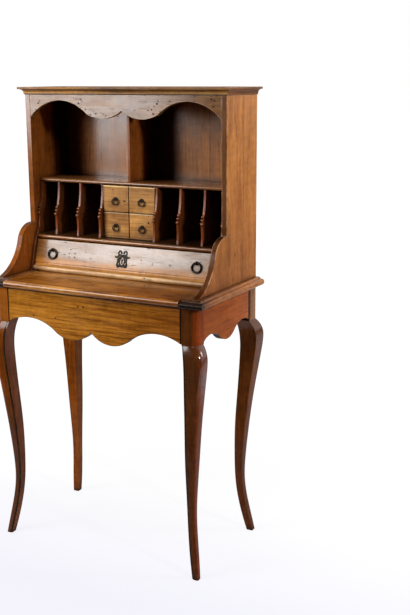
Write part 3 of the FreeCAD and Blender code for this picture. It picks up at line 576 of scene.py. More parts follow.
# the frieze: the scallops' undersides and the gaps at the drawer's ends are painted shade, and its dark
# rubbed edges are dirt with painted shade
apronWood = fruitwood(
    "friezeWood", "X", light=(0.62, 0.245, 0.025), dark=(0.24, 0.077, 0.006),
    rubbed=(0.03, 0.01, 0.002), edgeWidth=0.006, edgeWear=2.0, ripple=0.3, rings=0.5, streaks=2.4,
    blotches=0.6, wormholes=0.04, dashes=0.2, shine=0.22,
    tints=[
        ("place", "X", -0.25, -0.15, (0.97, 0.95, 1.0)),
        ("place", "X", -0.02, 0.3, (0.58, 0.44, 0.32)),
        ("facing", "Z", -0.15, -0.45, (0.06, 0.05, 0.05)),
        ("front", "X", -0.2695, -0.2712, (0.05, 0.05, 0.08)),
        ("front", "X", 0.2695, 0.2712, (0.05, 0.05, 0.08)),
    ],
)
# the leaf: its pale rubbed edges also paint the nose's highlight
leafWood = fruitwood(
    "writingLeafWood", "X", light=(0.48, 0.19, 0.027), dark=(0.13, 0.035, 0.005),
    rubbed=(0.95, 0.7, 0.42), edgeWidth=0.004, edgeWear=1.3, gloss=0.1, rings=0.9, streaks=1.4,
    blotches=1.4, dashes=0.15, shine=0.03, patina=0.03, sway=0.0003, grimeAmount=0.35,
    coats=[("Y", -0.12, -0.05, 0.6), ("Y", -0.183, -0.187, 0.8)],
    wears=[("X", 0.262, 0.25)],
    tints=[
        ("place", "X", 0.0, 0.14, (0.56, 0.42, 0.22)),
        ("top", "X", 0.205, 0.275, (0.6, 0.55, 0.5)),
        ("place", "X", -0.13, -0.22, (0.9, 0.84, 0.8)),
        # darker towards the front, leaving the back bright like the drawer's reflection: painted shade; the
        # nose's band lighter: painted highlight
        ("place", "Y", -0.09, -0.15, (0.88, 0.82, 0.7)),
        ("place", "Y", -0.184, -0.188, (1.6, 1.9, 3.0)),
    ],
)
middleWood = fruitwood(
    "centreDividerWood", "Z", light=(0.41, 0.115, 0.018), dark=(0.17, 0.043, 0.007), shine=0.25,
    # the rear part darkened: painted shadow
    tints=[("place", "Y", 0.085, 0.125, (0.25, 0.22, 0.22))],
)
legLook = {
    "light": (0.13, 0.037, 0.007), "dark": (0.045, 0.011, 0.002), "edgeWear": 0.3, "gloss": 0.13,
    "shine": 0.07, "patina": 0.08, "wormholes": 0.0,
    "coats": [("Z", 0.48, 0.56, 1.0)],
    "coatGloss": 0.12,
}


def legFruitwood(name, **changes):
    return fruitwood(name, "Z", **{**legLook, **changes})


legWood = legFruitwood(
    "redLegWood", light=(0.116, 0.036, 0.0085), dark=(0.04, 0.0105, 0.0024),
    tints=[
        # faces turned to the right lighter and redder: painted light from the right-hand lamps
        ("facing", "X", 0.3, 0.75, (1.7, 1.15, 0.7)),
        ("place", "Z", 0.5, 0.2, (0.9, 0.8, 0.7)),
    ],
)
rearRightLegWood = legFruitwood(
    "brownLegWood", light=(0.16, 0.046, 0.009), dark=(0.056, 0.0135, 0.0025),
    coats=[("Z", 0.5, 0.585, 0.5)],
    tints=[("place", "Z", 0.5, 0.2, (0.95, 0.85, 0.75))],
)
rearLeftLegWood = legFruitwood(
    "rearLeftLegWood", light=(0.34, 0.087, 0.009), dark=(0.13, 0.03, 0.003), coats=(),
    # faces turned to the right, under the desk, duller: painted shade
    tints=[("facing", "X", 0.3, 0.75, (0.66, 0.74, 1.1))],
)
postWood = legFruitwood(
    "postWood", shine=0.06, gloss=0.3,
    coats=[("Y", 0.14, 0.15, 1.0)],
    tints=[
        # faces turned to the right lighter: painted light; the rear posts greyer behind the joint: painted
        # sheen
        ("facing", "X", 0.3, 0.75, (2.7, 1.7, 1.0)),
        ("place", "Y", 0.134, 0.142, (1.0, 2.4, 4.5)),
    ],
    seams=[("Y", 0.1335, 0.004)],
)
leftPostWood = legFruitwood(
    "goldenPostWood", shine=0.06, gloss=0.3, coats=(),
    tints=[("place", "Z", 0.6, 0.66, (3.6, 3.7, 2.2))],
)
# the strip of the sunk line: near-black, painted shade in the recess
sunkLineShadeWood = legFruitwood("sunkLineShadeWood", light=(0.02, 0.006, 0.002), dark=(0.009, 0.003, 0.001), shine=0.1)
leftLegWood = legFruitwood(
    "goldenLegWood", shine=0.16,
    coats=[("Z", 0.5, 0.585, 0.3)],
    tints=[
        # faces turned to the right lighter: painted light; the front faces lighter between these heights
        ("facing", "X", 0.3, 0.75, (1.5, 1.3, 1.1)),
        ("front", "Z", 0.33, 0.47, (2.2, 1.9, 0.9)),
    ],
)
honeyAcross = fruitwood(
    "honeyDrawerWood", "X", light=(0.78, 0.39, 0.1), dark=(0.33, 0.13, 0.027),
    rubbed=(0.85, 0.62, 0.36), edgeWidth=0.004, edgeWear=1.6, shine=0.25, gloss=0.3, specks=0.12,
    blotches=1.4,
    tints=[
        ("place", "Z", 0.9, 0.98, (0.66, 0.63, 0.6)),
        # pale top edges of both rows, partly rubbed and partly a painted highlight, and painted shadow along
        # the dividers
        ("front", "Z", 1.005, 1.0072, (1.9, 2.7, 5.0)),
        ("front", "Z", 0.931, 0.9332, (1.25, 1.8, 3.6)),
        ("front", "Z", 0.9352, 0.9358, (0.8, 0.556, 0.278)),
        ("front", "X", -0.0765, -0.0825, (0.4, 0.33, 0.3)),
        ("front", "X", 0.079, 0.083, (0.6, 0.5, 0.45)),
    ],
)
# dividers and linings: dark as the shade inside the pigeonholes, with front edges and front parts lighter:
# painted light and shade
redUpright = fruitwood(
    "redDividerWood", "Z", light=(0.09, 0.026, 0.006), dark=(0.03, 0.008, 0.002), edgeWear=0.5,
    shine=0.32, gloss=0.2,
    tints=[
        ("facing", "Y", -0.3, -0.8, (1.5, 1.15, 0.9)),
        ("place", "Y", 0.06, 0.02, (2.2, 2.0, 1.8)),
    ],
)
plainBox = fruitwood(
    "plainBoxWood", "Y", light=(0.5, 0.33, 0.17), dark=(0.3, 0.18, 0.085), gloss=0.65, dull=0.8,
    shine=0.2,
)
plainBack = fruitwood(
    "plainBackWood", "Z", light=(0.55, 0.2, 0.04), dark=(0.22, 0.072, 0.015), gloss=0.3, dull=0.7,
    shine=0.2, grimeAmount=0.9, specks=0.1, cracks=0.12,
    seams=[("X", 0.179, 0.0011), ("X", -0.179, 0.0009)],
    tints=[
        # painted shadows of the left side and the centre divider on the back; the third tint takes the second
        # off the left bay
        ("front", "X", -0.225, -0.27, (0.3, 0.25, 0.25)),
        ("front", "X", 0.1, 0.06, (0.13, 0.11, 0.11)),
        ("front", "X", 0.002, -0.002, (7.7, 9.1, 9.1)),
    ],
    coats=[("X", -0.215, -0.185, 1.0), ("X", -0.004, 0.0, -1.0), ("X", 0.06, 0.09, 0.4)],
    coatGloss=0.24,
)

woodOfNodes = {
    "leg_": legWood,
    "leg_front_left": leftLegWood,
    "leg_rear_left": rearLeftLegWood,
    "leg_rear_right": rearRightLegWood,
    "side_apron_": sideApronWood,
    "rear_apron": goldAcross,
    "front_top_rail": goldAcross,
    "drawer_runners": plainBox,
    "table_rail_left": railWood,
    "table_rail_right": railWood,
    "table_rail_rear": goldAcross,
    "gradin_base_board": baseBoardWood,
    "side_panel_left": leftPanelWood,
    "side_panel_right": panelWood,
    "lining_": redUpright,
    "pigeonhole_floor": floorWood,
    "shelf": shelfWood,
    "centre_divider": middleWood,
    "pigeonhole_divider_": redUpright,
    "nest_partition": redUpright,
    "nest_shelf": goldAcross,
    "pelmet": pelmetWood,
    "top_board": topWood,
    "cornice_front": corniceWood,
    "cornice_": corniceSideWood,
    "back_planks": plainBack,
    "frieze_drawer_front": apronWood,
    "writing_leaf": leafWood,
    "wide_drawer_front": wideDrawerWood,
    "small_drawer_": honeyAcross,
}
softening = {"width": 0.0009, "segments": 2, "turn": 34.0, "weld": 0.00001, "flat": 0.4}  # metres and degrees


def woodFor(name):
    if name.endswith("_tray"):
        return plainBox
    if name in woodOfNodes:
        return woodOfNodes[name]
    stems = [stem for stem in woodOfNodes if stem.endswith("_") and name.startswith(stem)]
    return woodOfNodes[max(stems, key=len)]


def softenEdges(board):
    weld = board.modifiers.new("oneSkin", "WELD")
    weld.merge_threshold = softening["weld"]
    flat = board.modifiers.new("plainFaces", "DECIMATE")
    flat.decimate_type = "DISSOLVE"
    flat.angle_limit = math.radians(softening["flat"])
    bevel = board.modifiers.new("rubbedEdges", "BEVEL")
    bevel.width = softening["width"]
    bevel.segments = softening["segments"]
    bevel.limit_method = "ANGLE"
    bevel.angle_limit = math.radians(softening["turn"])
    bevel.use_clamp_overlap = False
    bevel.harden_normals = False
    board.modifiers.new("evenShading", "WEIGHTED_NORMAL")


hardwareNodes = {"escutcheon", "wide_pull_eyes", "wide_ring_left", "wide_ring_right", "drawer_lock"}
hardwareNodes |= {f"small_drawer_{n}_{piece}" for n in range(1, 5) for piece in ("eye", "ring")}
for name, board in nodes.items():
    if name in hardwareNodes:
        continue
    board.data.materials.clear()
    board.data.materials.append(woodFor(name))
    if not name.startswith("leg_"):
        softenEdges(board)
print("boards finished")


def finishPiece(mesh, name, body, replaced, material):
    data = bpy.data.meshes.new(name)
    bmesh.ops.recalc_face_normals(mesh, faces=mesh.faces)
    mesh.to_mesh(data)
    mesh.free()
    data.shade_smooth()
    data.materials.append(material)
    piece = bpy.data.objects.new(name, data)
    scene.collection.objects.link(piece)
    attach(piece, body)
    if replaced:
        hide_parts(*replaced)
    return piece


def skinLoops(mesh, loops, closedWay=False):
    rows = [[mesh.verts.new(point) for point in loop] for loop in loops]
    count = len(rows)
    for n in range(count if closedWay else count - 1):
        first, second = rows[n], rows[(n + 1) % count]
        for k in range(len(first)):
            after = (k + 1) % len(first)
            mesh.faces.new((first[k], first[after], second[after], second[k]))
    if not closedWay:
        mesh.faces.new(rows[0])
        mesh.faces.new(rows[-1])


# the legs: sawn from the post in two directions, then rounded and moulded by hand along the arrises
legShape = {
    "knee": 0.64,  # the post stands on the leg here
    "steps": [0.0, 0.02, 0.05, 0.08, 0.12, 0.16, 0.2, 0.25, 0.3, 0.35, 0.4, 0.45, 0.5, 0.54, 0.565, 0.585]
    + [0.6, 0.612, 0.622, 0.631, 0.64],
    "between": 4,  # loops from one step to the next
    "inside": 0.0002,  # slices keep off the very ends
    "postLoops": {"fromKnee": (0.0001, 0.01), "fromTop": (0.001, 0.0)},
    "frontRound": [(0.0, 0.004), (0.2, 0.005), (0.4, 0.009), (0.52, 0.015), (0.6, 0.021), (0.64, 0.0215)],
    "rearRound": [(0.0, 0.002), (0.64, 0.0025)],
    "arris": 0.0012,
    "cornerPoints": 10,
    # the sunk line along the edges that carry on the scallops, and its strips in the skin
    "quirk": {"width": 0.0046, "depth": 0.002, "strips": {*range(10, 17), *range(32, 39)}},
    "crease": 28.0,
}


def alongCurve(points, place):
    for (start, first), (end, last) in zip(points, points[1:]):
        if place <= end:
            return first + (last - first) * (place - start) / (end - start)
    return points[-1][1]


def eased(t, ends, span, reachBack, reachOn):
    # from the second to the third of four values, with slopes taken across their neighbours
    before, start, end, after = ends
    first = (end - before) / reachBack * span
    last = (after - start) / reachOn * span
    return (
        (2 * t**3 - 3 * t**2 + 1) * start
        + (t**3 - 2 * t**2 + t) * first
        + (3 * t**2 - 2 * t**3) * end
        + (t**3 - t**2) * last
    )


def legSlice(mesh, height):
    cut = mesh.copy()
    parts = cut.verts[:] + cut.edges[:] + cut.faces[:]
    found = bmesh.ops.bisect_plane(cut, geom=parts, plane_co=(0, 0, height), plane_no=(0, 0, 1))["geom_cut"]
    spots = [part.co for part in found if isinstance(part, bmesh.types.BMVert)]
    reach = [(min(spot[axis] for spot in spots), max(spot[axis] for spot in spots)) for axis in (0, 1)]
    cut.free()
    return reach


def roundedCorner(corner, before, after, radius):
    centre = corner + (before + after) * radius
    last = legShape["cornerPoints"] - 1
    turn = [math.pi / 2 * k / last for k in range(last + 1)]
    return [centre - after * radius * math.cos(t) - before * radius * math.sin(t) for t in turn]


def quirkedCorner(corner, face, other, arris):
    wide, deep = legShape["quirk"]["width"], legShape["quirk"]["depth"]
    marks = [
        (wide + deep, 0.0),
        (wide + deep * 0.3, deep * 0.1),
        (wide + deep * 0.1, deep * 0.5),
        (wide, deep),
        (wide - deep * 0.2, deep),
        (wide * 0.6, deep),
        (arris * 1.4, deep),
        (arris, deep),
        (arris * 0.3, deep + arris * 0.3),
        (0.0, deep + arris),
    ]
    return [corner + face * along + other * inward for along, inward in marks]


def legLoop(reach, height, sideX, sideY, front):
    outer = Vector((reach[0][1 if sideX > 0 else 0], reach[1][1 if sideY > 0 else 0], height))
    inner = Vector((reach[0][0 if sideX > 0 else 1], reach[1][0 if sideY > 0 else 1], height))
    inX, inY = Vector((-sideX, 0, 0)), Vector((0, -sideY, 0))
    arris = legShape["arris"]
    radius = alongCurve(legShape["frontRound" if front else "rearRound"], height)
    frontCorner = Vector((inner.x, outer.y, height))
    sideCorner = Vector((outer.x, inner.y, height))
    loop = roundedCorner(outer, inY, inX, radius)
    if front and height <= legShape["knee"]:
        loop += quirkedCorner(frontCorner, -inX, inY, arris)
        loop += roundedCorner(inner, -inX, -inY, arris)
        loop += quirkedCorner(sideCorner, -inY, inX, arris)[::-1]
    else:
        loop += roundedCorner(frontCorner, -inX, inY, arris)
        loop += roundedCorner(inner, -inY, -inX, arris)
        loop += roundedCorner(sideCorner, inX, -inY, arris)
    return loop


def buildLeg(name, pieceName):
    board = nodes[name]
    mesh = bmesh.new()
    mesh.from_mesh(board.data)
    low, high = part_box(name)
    sideX = 1 if low.x + high.x > 0 else -1
    sideY = 1 if low.y + high.y > 0 else -1
    front = sideY < 0
    knee, inside, steps = legShape["knee"], legShape["inside"], legShape["steps"]
    rows = []
    for z in steps:
        reachX, reachY = legSlice(mesh, min(max(z, inside), knee - inside))
        rows.append([*reachX, *reachY])
    post = legSlice(mesh, (knee + high.z) / 2)
    mesh.free()
    loops = []
    last = len(rows) - 1
    for n in range(last):
        near = [min(max(n + step, 0), last) for step in (-1, 0, 1, 2)]
        zBefore, z0, z1, zAfter = (steps[spot] for spot in near)
        columns = list(zip(*(rows[spot] for spot in near)))
        for k in range(legShape["between"]):
            t = k / legShape["between"]
            values = [eased(t, ends, z1 - z0, z1 - zBefore, zAfter - z0) for ends in columns]
            loops.append(legLoop((values[:2], values[2:]), z0 + (z1 - z0) * t, sideX, sideY, front))
    top = rows[-1]
    belowKnee = len(loops)
    loops.append(legLoop((top[:2], top[2:]), knee, sideX, sideY, front))
    heights = [knee + rise for rise in legShape["postLoops"]["fromKnee"]]
    heights += [high.z - drop for drop in legShape["postLoops"]["fromTop"]]
    loops += [legLoop(post, z, sideX, sideY, front) for z in heights]
    leg = bmesh.new()
    skinLoops(leg, loops)
    piece = finishPiece(leg, pieceName, board["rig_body"], [name], woodFor(name))
    piece.data.set_sharp_from_angle(angle=math.radians(legShape["crease"]))
    piece.data.materials.append(sunkLineShadeWood)
    piece.data.materials.append(leftPostWood if name == "leg_front_left" else postWood)
    for face in piece.data.polygons:
        row, strip = divmod(face.index, len(loops[0]))
        if row > belowKnee:
            face.material_index = 2
        elif front and row < belowKnee and strip in legShape["quirk"]["strips"]:
            face.material_index = 1


for end in ("front", "rear"):
    for side in ("left", "right"):
        buildLeg(f"leg_{end}_{side}", f"{end}Leg.{side}")
print("legs shaped")


# blackened bronze of the pulls and the keyhole plate, and the iron of the lock

bronzeLook = {"dark": (0.01, 0.008, 0.005), "rubbed": (0.075, 0.05, 0.024), "gloss": 0.32, "metal": 0.7}
ironLook = {"dark": (0.09, 0.085, 0.08), "rubbed": (0.2, 0.14, 0.09), "gloss": 0.5, "metal": 0.8}
castShape = {
    "skin": (240.0, 4.0, 0.6),  # scale, detail and roughness of the cast surface
    "rubRange": (0.48, 0.72),
    "glossRange": (0.3, 0.7),
    "dulled": 0.2,
    "relief": 0.0002,
    "strength": 0.5,
    "wear": {
        "Grime": (0.008, 0.007, 0.005, 1),
        "Edge Width": 0.0006,
        "Edge Wear": 0.7,
        "Corner Wax And Shade": 0.5,
        "Wormholes": 0.0,
    },
}


def castMetal(name, look):
    material, tree = newMaterial(name)
    cloud = noise(coordinates(tree), *castShape["skin"])
    rubbed = opaque(look["rubbed"])
    colour = blendColours(remap(cloud, *castShape["rubRange"]), opaque(look["dark"]), rubbed)
    worn = placeGroup(wearGroup, {"Color": colour, "Rubbed": rubbed, **castShape["wear"]})
    gloss = look["gloss"]
    rough = remap(cloud, *castShape["glossRange"], gloss + castShape["dulled"], gloss)
    addSurface(
        {
            "Base Color": worn["Color"],
            "Roughness": rough,
            "Metallic": look["metal"],
            "Normal": bumped(cloud, castShape["relief"], castShape["strength"]),
        }
    )
    return material


darkBronze = castMetal("blackenedBronze", bronzeLook)
lockIron = castMetal("lockIron", ironLook)
for name in hardwareNodes:
    nodes[name].data.materials.clear()
    nodes[name].data.materials.append(lockIron if name == "drawer_lock" else darkBronze)

hinges = {joint["name"]: Vector(joint["pos_m"]) for joint in frame["joints"] if "pos_m" in joint}


def drawerFace(slope):
    # outwards from and up along a front that leans back
    return Vector((0, -math.cos(slope), math.sin(slope))), Vector((0, math.sin(slope), math.cos(slope)))


def fullTurn(count):
    return [2 * math.pi * n / count for n in range(count)]


def wireLoops(centre, first, second, out, radius, thickness, steps, sides):
    loops = []
    for angle in fullTurn(steps):
        radial = first * math.cos(angle) + second * math.sin(angle)
        thick, broad = thickness(angle)
        loop = []
        for turn in fullTurn(sides):
            loop.append(centre + radial * (radius + thick * math.cos(turn)) + out * broad * math.sin(turn))
        loops.append(loop)
    return loops


def latheLoops(seat, across, up, outward, profile, lobes, swell, steps=40):
    loops = []
    for radius, height, lobed in profile:
        loop = []
        for angle in fullTurn(steps):
            reach = radius * (1 + (swell * math.cos(lobes * angle) if lobed else 0))
            loop.append(seat + outward * height + (across * math.cos(angle) + up * math.sin(angle)) * reach)
        loops.append(loop)
    return loops


# the ring pulls: a lobed rosette, a stem with a collar, an eye and the ring that hangs in it
acrossX = Vector((1, 0, 0))
pullKinds = {
    "wide": {
        "ring": 0.013,
        "wire": 0.0021,
        "standoff": 0.005,
        "rose": 0.0062,
        "roseShape": (1.0, 0.85),  # across and up
        "roseDrop": 0.0022,
        "oval": 1.06,  # the ring's width over its height
        "slope": math.radians(15.67),
        "hang": math.radians(9.49),
    },
    "small": {
        "ring": 0.0085,
        "wire": 0.0013,
        "standoff": 0.0036,
        "rose": 0.0058,
        "roseShape": (1.3, 0.95),
        "roseDrop": 0.002,
        "oval": 1.18,
        "slope": 0.0,
        "hang": 0.0,
    },
}
# shares of the wire's thickness, and the collar's place and spread as angles from the top
ringShape = {"slim": 0.9, "footSwell": 0.25, "collarSwell": 0.22, "collarPlace": 0.52, "collarSpread": 0.07}
eyeShape = {"play": 0.0005, "lobes": 8, "swell": 0.07, "dropped": 5, "thick": 0.46, "broad": 0.95}


def buildRing(kind, name, hinge, body, node):
    sizes = pullKinds[kind]
    wire, radius = sizes["wire"], sizes["ring"]
    down = Vector((0, -math.sin(sizes["hang"]), -math.cos(sizes["hang"])))
    across = acrossX * sizes["oval"]

    def thickness(angle):
        drop = (1 + math.cos(angle)) / 2  # 1 at the foot of the ring
        fromCollar = abs(math.pi - angle) - ringShape["collarPlace"]
        collar = math.exp(-((fromCollar / ringShape["collarSpread"]) ** 2))
        thick = ringShape["slim"] + ringShape["footSwell"] * drop + ringShape["collarSwell"] * collar
        return wire * thick, wire * thick

    mesh = bmesh.new()
    out = across.cross(down).normalized()
    loops = wireLoops(hinge + down * radius, down, across, out, radius, thickness, steps=96, sides=14)
    skinLoops(mesh, loops, closedWay=True)
    finishPiece(mesh, name, body, [node], darkBronze)


def addEye(mesh, kind, hinge):
    sizes = pullKinds[kind]
    wire, standoff, slope = sizes["wire"], sizes["standoff"], sizes["slope"]
    outward, up = drawerFace(slope)
    seat = hinge - outward * standoff
    hole = wire + eyeShape["play"]
    rose = sizes["rose"]
    neck = wire * 0.8
    # from the seat outwards: radius, height and whether the edge is lobed
    profile = [
        (rose * 0.97, 0.0, True),
        (rose, wire * 0.25, True),
        (rose * 0.9, wire * 0.55, True),
        (rose * 0.62, wire * 0.62, True),
        (rose * 0.52, wire * 0.5, False),
        (rose * 0.42, wire * 0.72, False),
        (neck * 1.25, wire * 0.85, False),
        (neck, wire * 1.1, False),
        (neck, max(wire * 1.2, standoff - hole - wire * 0.4), False),
    ]
    wide, high = sizes["roseShape"]
    lobes, swell = eyeShape["lobes"], eyeShape["swell"]
    rosette = latheLoops(seat, acrossX * wide, up * high, outward, profile, lobes, swell)
    # the plate hangs a little below its stem
    dropped = eyeShape["dropped"]
    for n, loop in enumerate(rosette[:dropped]):
        rosette[n] = [spot - up * sizes["roseDrop"] * (1 - n / dropped) for spot in loop]
    skinLoops(mesh, rosette)

    def thickness(angle):
        return wire * eyeShape["thick"], wire * eyeShape["broad"]

    # the eye stands edge on, with the ring through it
    middle = hole + wire * 0.5
    loops = wireLoops(hinge, outward, up, acrossX, middle, thickness, steps=40, sides=12)
    skinLoops(mesh, loops, closedWay=True)


wideEyes = bmesh.new()
for side in ("left", "right"):
    hinge = hinges[f"wide_ring_{side}_hinge"]
    addEye(wideEyes, "wide", hinge)
    buildRing("wide", f"wideDrawerRing.{side}", hinge, f"wide_ring_{side}", f"wide_ring_{side}")
finishPiece(wideEyes, "wideDrawerEyes", "wide_drawer", ["wide_pull_eyes"], darkBronze)
for n in range(1, 5):
    hinge = hinges[f"small_ring_{n}_hinge"]
    eye = bmesh.new()
    addEye(eye, "small", hinge)
    eyeName = f"smallDrawerEye.{n}"
    finishPiece(eye, eyeName, f"small_drawer_{n}", [f"small_drawer_{n}_eye"], darkBronze)
    buildRing("small", f"smallDrawerRing.{n}", hinge, f"small_ring_{n}", f"small_drawer_{n}_ring")
print("ring pulls modelled")


# the keyhole plate: pierced leafwork cast in one piece, millimetres on the drawer's sloping face
keyholePlate = {
    "slope": math.radians(15.67),
    "thick": 1.9,
    "bold": 1.18,
    "sunk": 0.0008,  # metres
    "voxel": 0.00034,
    "strokes": [
        # half of the leafwork: points across and up, then the widths at its start, middle and end
        (
            [(2.5, 10.5), (5.6, 12.5), (10.8, 11.5), (13.4, 15.5)]
            + [(12.2, 20.8), (8.6, 22.9), (5.2, 21.2), (4.2, 17.6)],
            (1.2, 1.7, 1.9),
        ),
        ([(8.5, 9.5), (13.4, 9.6), (15.6, 6.6), (18.8, 4.8), (22.2, 6.6)], (1.5, 1.7, 1.7)),
        (
            [(0.0, 11.5), (5.0, 9.5), (10.2, 5.2), (13.6, -0.5), (13.2, -6.0)]
            + [(15.2, -12.0), (15.2, -18.0), (11.2, -21.4), (8.6, -19.2)],
            (1.9, 2.2, 1.8),
        ),
        ([(0.0, 9.5), (4.6, 4.5), (8.2, -3.5), (7.2, -11.5), (3.4, -16.4), (0.0, -17.8)], (1.5, 1.5, 1.6)),
        ([(0.0, -18.2), (4.0, -19.4), (8.0, -17.6), (13.6, -14.6)], (1.3, 1.2, 1.3)),
    ],
    "tip": {"least": 0.45, "step": 0.3},  # how the ends of a stroke thin out
    "beads": [(4.1, 17.3, 2.1), (22.3, 6.8, 1.9), (0.0, 11.0, 2.5), (8.4, -19.4, 1.8), (0.0, -20.2, 1.9)],
    "beadRise": 0.75,
    "keyhole": {"top": -2.0, "radius": 2.4, "foot": -11.5, "half": 1.3, "footFlare": 1.6},
    "arc": {"start": -60, "sweep": 300, "points": 24},  # degrees, round the keyhole's top
    # growth of the outline and height, round the rim and over the dark inside
    "rim": ((1.35, 0.0), (1.35, 0.9), (1.0, 0.9), (1.0, 0.25)),
    "shade": ((0.98, 0.0), (0.94, 0.22)),
}


def smoothPath(points, perSpan=9):
    path = []
    ends = [points[0], *points, points[-1]]
    for n in range(1, len(ends) - 2):
        before, start, end, after = (Vector((*ends[n + k], 0)) for k in (-1, 0, 1, 2))
        for step in range(perSpan):
            t = step / perSpan
            path.append(
                0.5
                * (
                    2 * start
                    + (end - before) * t
                    + (2 * before - 5 * start + 4 * end - after) * t * t
                    + (3 * start - before - 3 * end + after) * t ** 3
                )
            )
    path.append(Vector((*points[-1], 0)))
    return path


def addStroke(mesh, points, widths, side, lay):
    path = smoothPath([(x * side, y) for x, y in points])
    loops = []
    last = len(path) - 1
    start, middle, end = widths
    least, step = keyholePlate["tip"]["least"], keyholePlate["tip"]["step"]
    for n, spot in enumerate(path):
        ahead = path[min(n + 1, last)] - path[max(n - 1, 0)]
        sideways = Vector((-ahead.y, ahead.x, 0)).normalized()
        share = n / last
        if share < 0.5:
            half = start + (middle - start) * share * 2
        else:
            half = middle + (end - middle) * (share * 2 - 1)
        half *= keyholePlate["bold"]
        tip = min(1.0, least + n * step, least + (last - n) * step)
        loop = []
        for turn in fullTurn(12):
            rise = keyholePlate["thick"] * (0.5 + 0.5 * math.sin(turn)) * (0.6 + 0.4 * tip)
            loop.append(lay @ (spot + sideways * half * tip * math.cos(turn) + Vector((0, 0, rise))))
        loops.append(loop)
    skinLoops(mesh, loops)


def addBead(mesh, x, y, radius, lay):
    loops = []
    for ring in range(1, 9):
        turn = math.pi * ring / 9
        reach, rise = radius * math.sin(turn), radius * keyholePlate["beadRise"] * (1 - math.cos(turn))
        loop = [(x + reach * math.cos(angle), y + reach * math.sin(angle), rise) for angle in fullTurn(16)]
        loops.append([lay @ Vector(point) for point in loop])
    skinLoops(mesh, loops)


def plateLay():
    low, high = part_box("escutcheon")
    outward, up = drawerFace(keyholePlate["slope"])
    middle = (Vector(low) + Vector(high)) / 2 - outward * keyholePlate["sunk"]
    basis = Matrix((acrossX, up, outward)).transposed().to_4x4()
    return Matrix.Translation(middle) @ basis @ Matrix.Scale(0.001, 4)


def keyholeLoop(lay, grow, half, foot, rise):
    hole, arc = keyholePlate["keyhole"], keyholePlate["arc"]
    reach = hole["radius"] * grow
    last = arc["points"] - 1
    turns = [math.radians(arc["start"] + arc["sweep"] * k / last) for k in range(last + 1)]
    outline = [(reach * math.cos(turn), hole["top"] + reach * math.sin(turn)) for turn in turns]
    return [lay @ Vector((x, y, rise)) for x, y in (*outline, (-half, foot), (half, foot))]


def buildKeyholePlate():
    lay = plateLay()
    mesh = bmesh.new()
    for points, widths in keyholePlate["strokes"]:
        for side in (-1, 1):
            addStroke(mesh, points, widths, side, lay)
    for x, y, radius in keyholePlate["beads"]:
        for side in (-1, 1) if x else (1,):
            addBead(mesh, x * side, y, radius, lay)
    hole = keyholePlate["keyhole"]
    loops = []
    for grow, rise in keyholePlate["rim"]:
        half = hole["half"] * (1 + (grow - 1) * hole["footFlare"])
        foot = hole["foot"] - (grow - 1) * hole["radius"]
        loops.append(keyholeLoop(lay, grow, half, foot, rise))
    skinLoops(mesh, loops, closedWay=True)
    plate = finishPiece(mesh, "keyholePlate", "wide_drawer", ["escutcheon"], darkBronze)
    cast = plate.modifiers.new("oneCasting", "REMESH")
    cast.mode = "VOXEL"
    cast.voxel_size = keyholePlate["voxel"]
    cast.use_smooth_shade = True
    # a dark sheet in the keyhole: painted shade of the hole
    shade = bmesh.new()
    loops = []
    for grow, rise in keyholePlate["shade"]:
        loops.append(keyholeLoop(lay, grow, hole["half"] * grow, hole["foot"], rise))
    skinLoops(shade, loops)
    finishPiece(shade, "keyholeShade", "wide_drawer", [], lockIron)


buildKeyholePlate()
print("keyhole plate modelled")


# camera

photoCamera = {
    "place": (1.45833, -2.27953, 1.30326),
    "turn": math.radians(27.94),
    "drop": math.radians(13.162),
    "roll": math.radians(-0.248),
    "focalShare": 990.904 / 615,  # focal length over the picture's height
    "sensor": 36.0,
    "clip": (0.05, 100.0),
}


def addCamera():
    data = bpy.data.cameras.new("photoCamera")
    data.sensor_width = photoCamera["sensor"]
    data.lens = photoCamera["focalShare"] * data.sensor_width
    data.clip_start, data.clip_end = photoCamera["clip"]
    turn, drop, roll = photoCamera["turn"], photoCamera["drop"], photoCamera["roll"]
    forward = Vector((-math.sin(turn) * math.cos(drop), math.cos(turn) * math.cos(drop), -math.sin(drop)))
    right = Vector((math.cos(turn), math.sin(turn), 0.0))
    up = right.cross(forward)
    tiltedRight = right * math.cos(roll) + up * math.sin(roll)
    tiltedUp = up * math.cos(roll) - right * math.sin(roll)
    camera = bpy.data.objects.new("photoCamera", data)
    basis = Matrix((tiltedRight, tiltedUp, -forward)).transposed().to_4x4()
    camera.matrix_world = Matrix.Translation(photoCamera["place"]) @ basis
    scene.collection.objects.link(camera)
    scene.camera = camera


addCamera()


# floor, world and lamps

studio = {
    "floorSize": 60.0,
    "floorColour": (0.82, 0.82, 0.88),
    "nearTone": (0.862, 0.853, 0.925),  # the floor at the front of the paper, as the camera sees it
    "floorGlow": 0.86,  # share of the floor that the camera sees as plain white
    "glowReach": (0.6, 2.2),
    "paperWhite": 1.06,
    "whiteDepth": (-0.35, 0.3),
    "whiteReach": (1.3, 2.8),
    "paperFront": (-0.7, -0.6),  # the white paper ends here, and the room beyond is dark
    "room": (0.04, 0.04, 0.04),
    "ambient": 0.03,
    "backLight": 0.5,
    "backRange": (-0.1, 0.35),
}


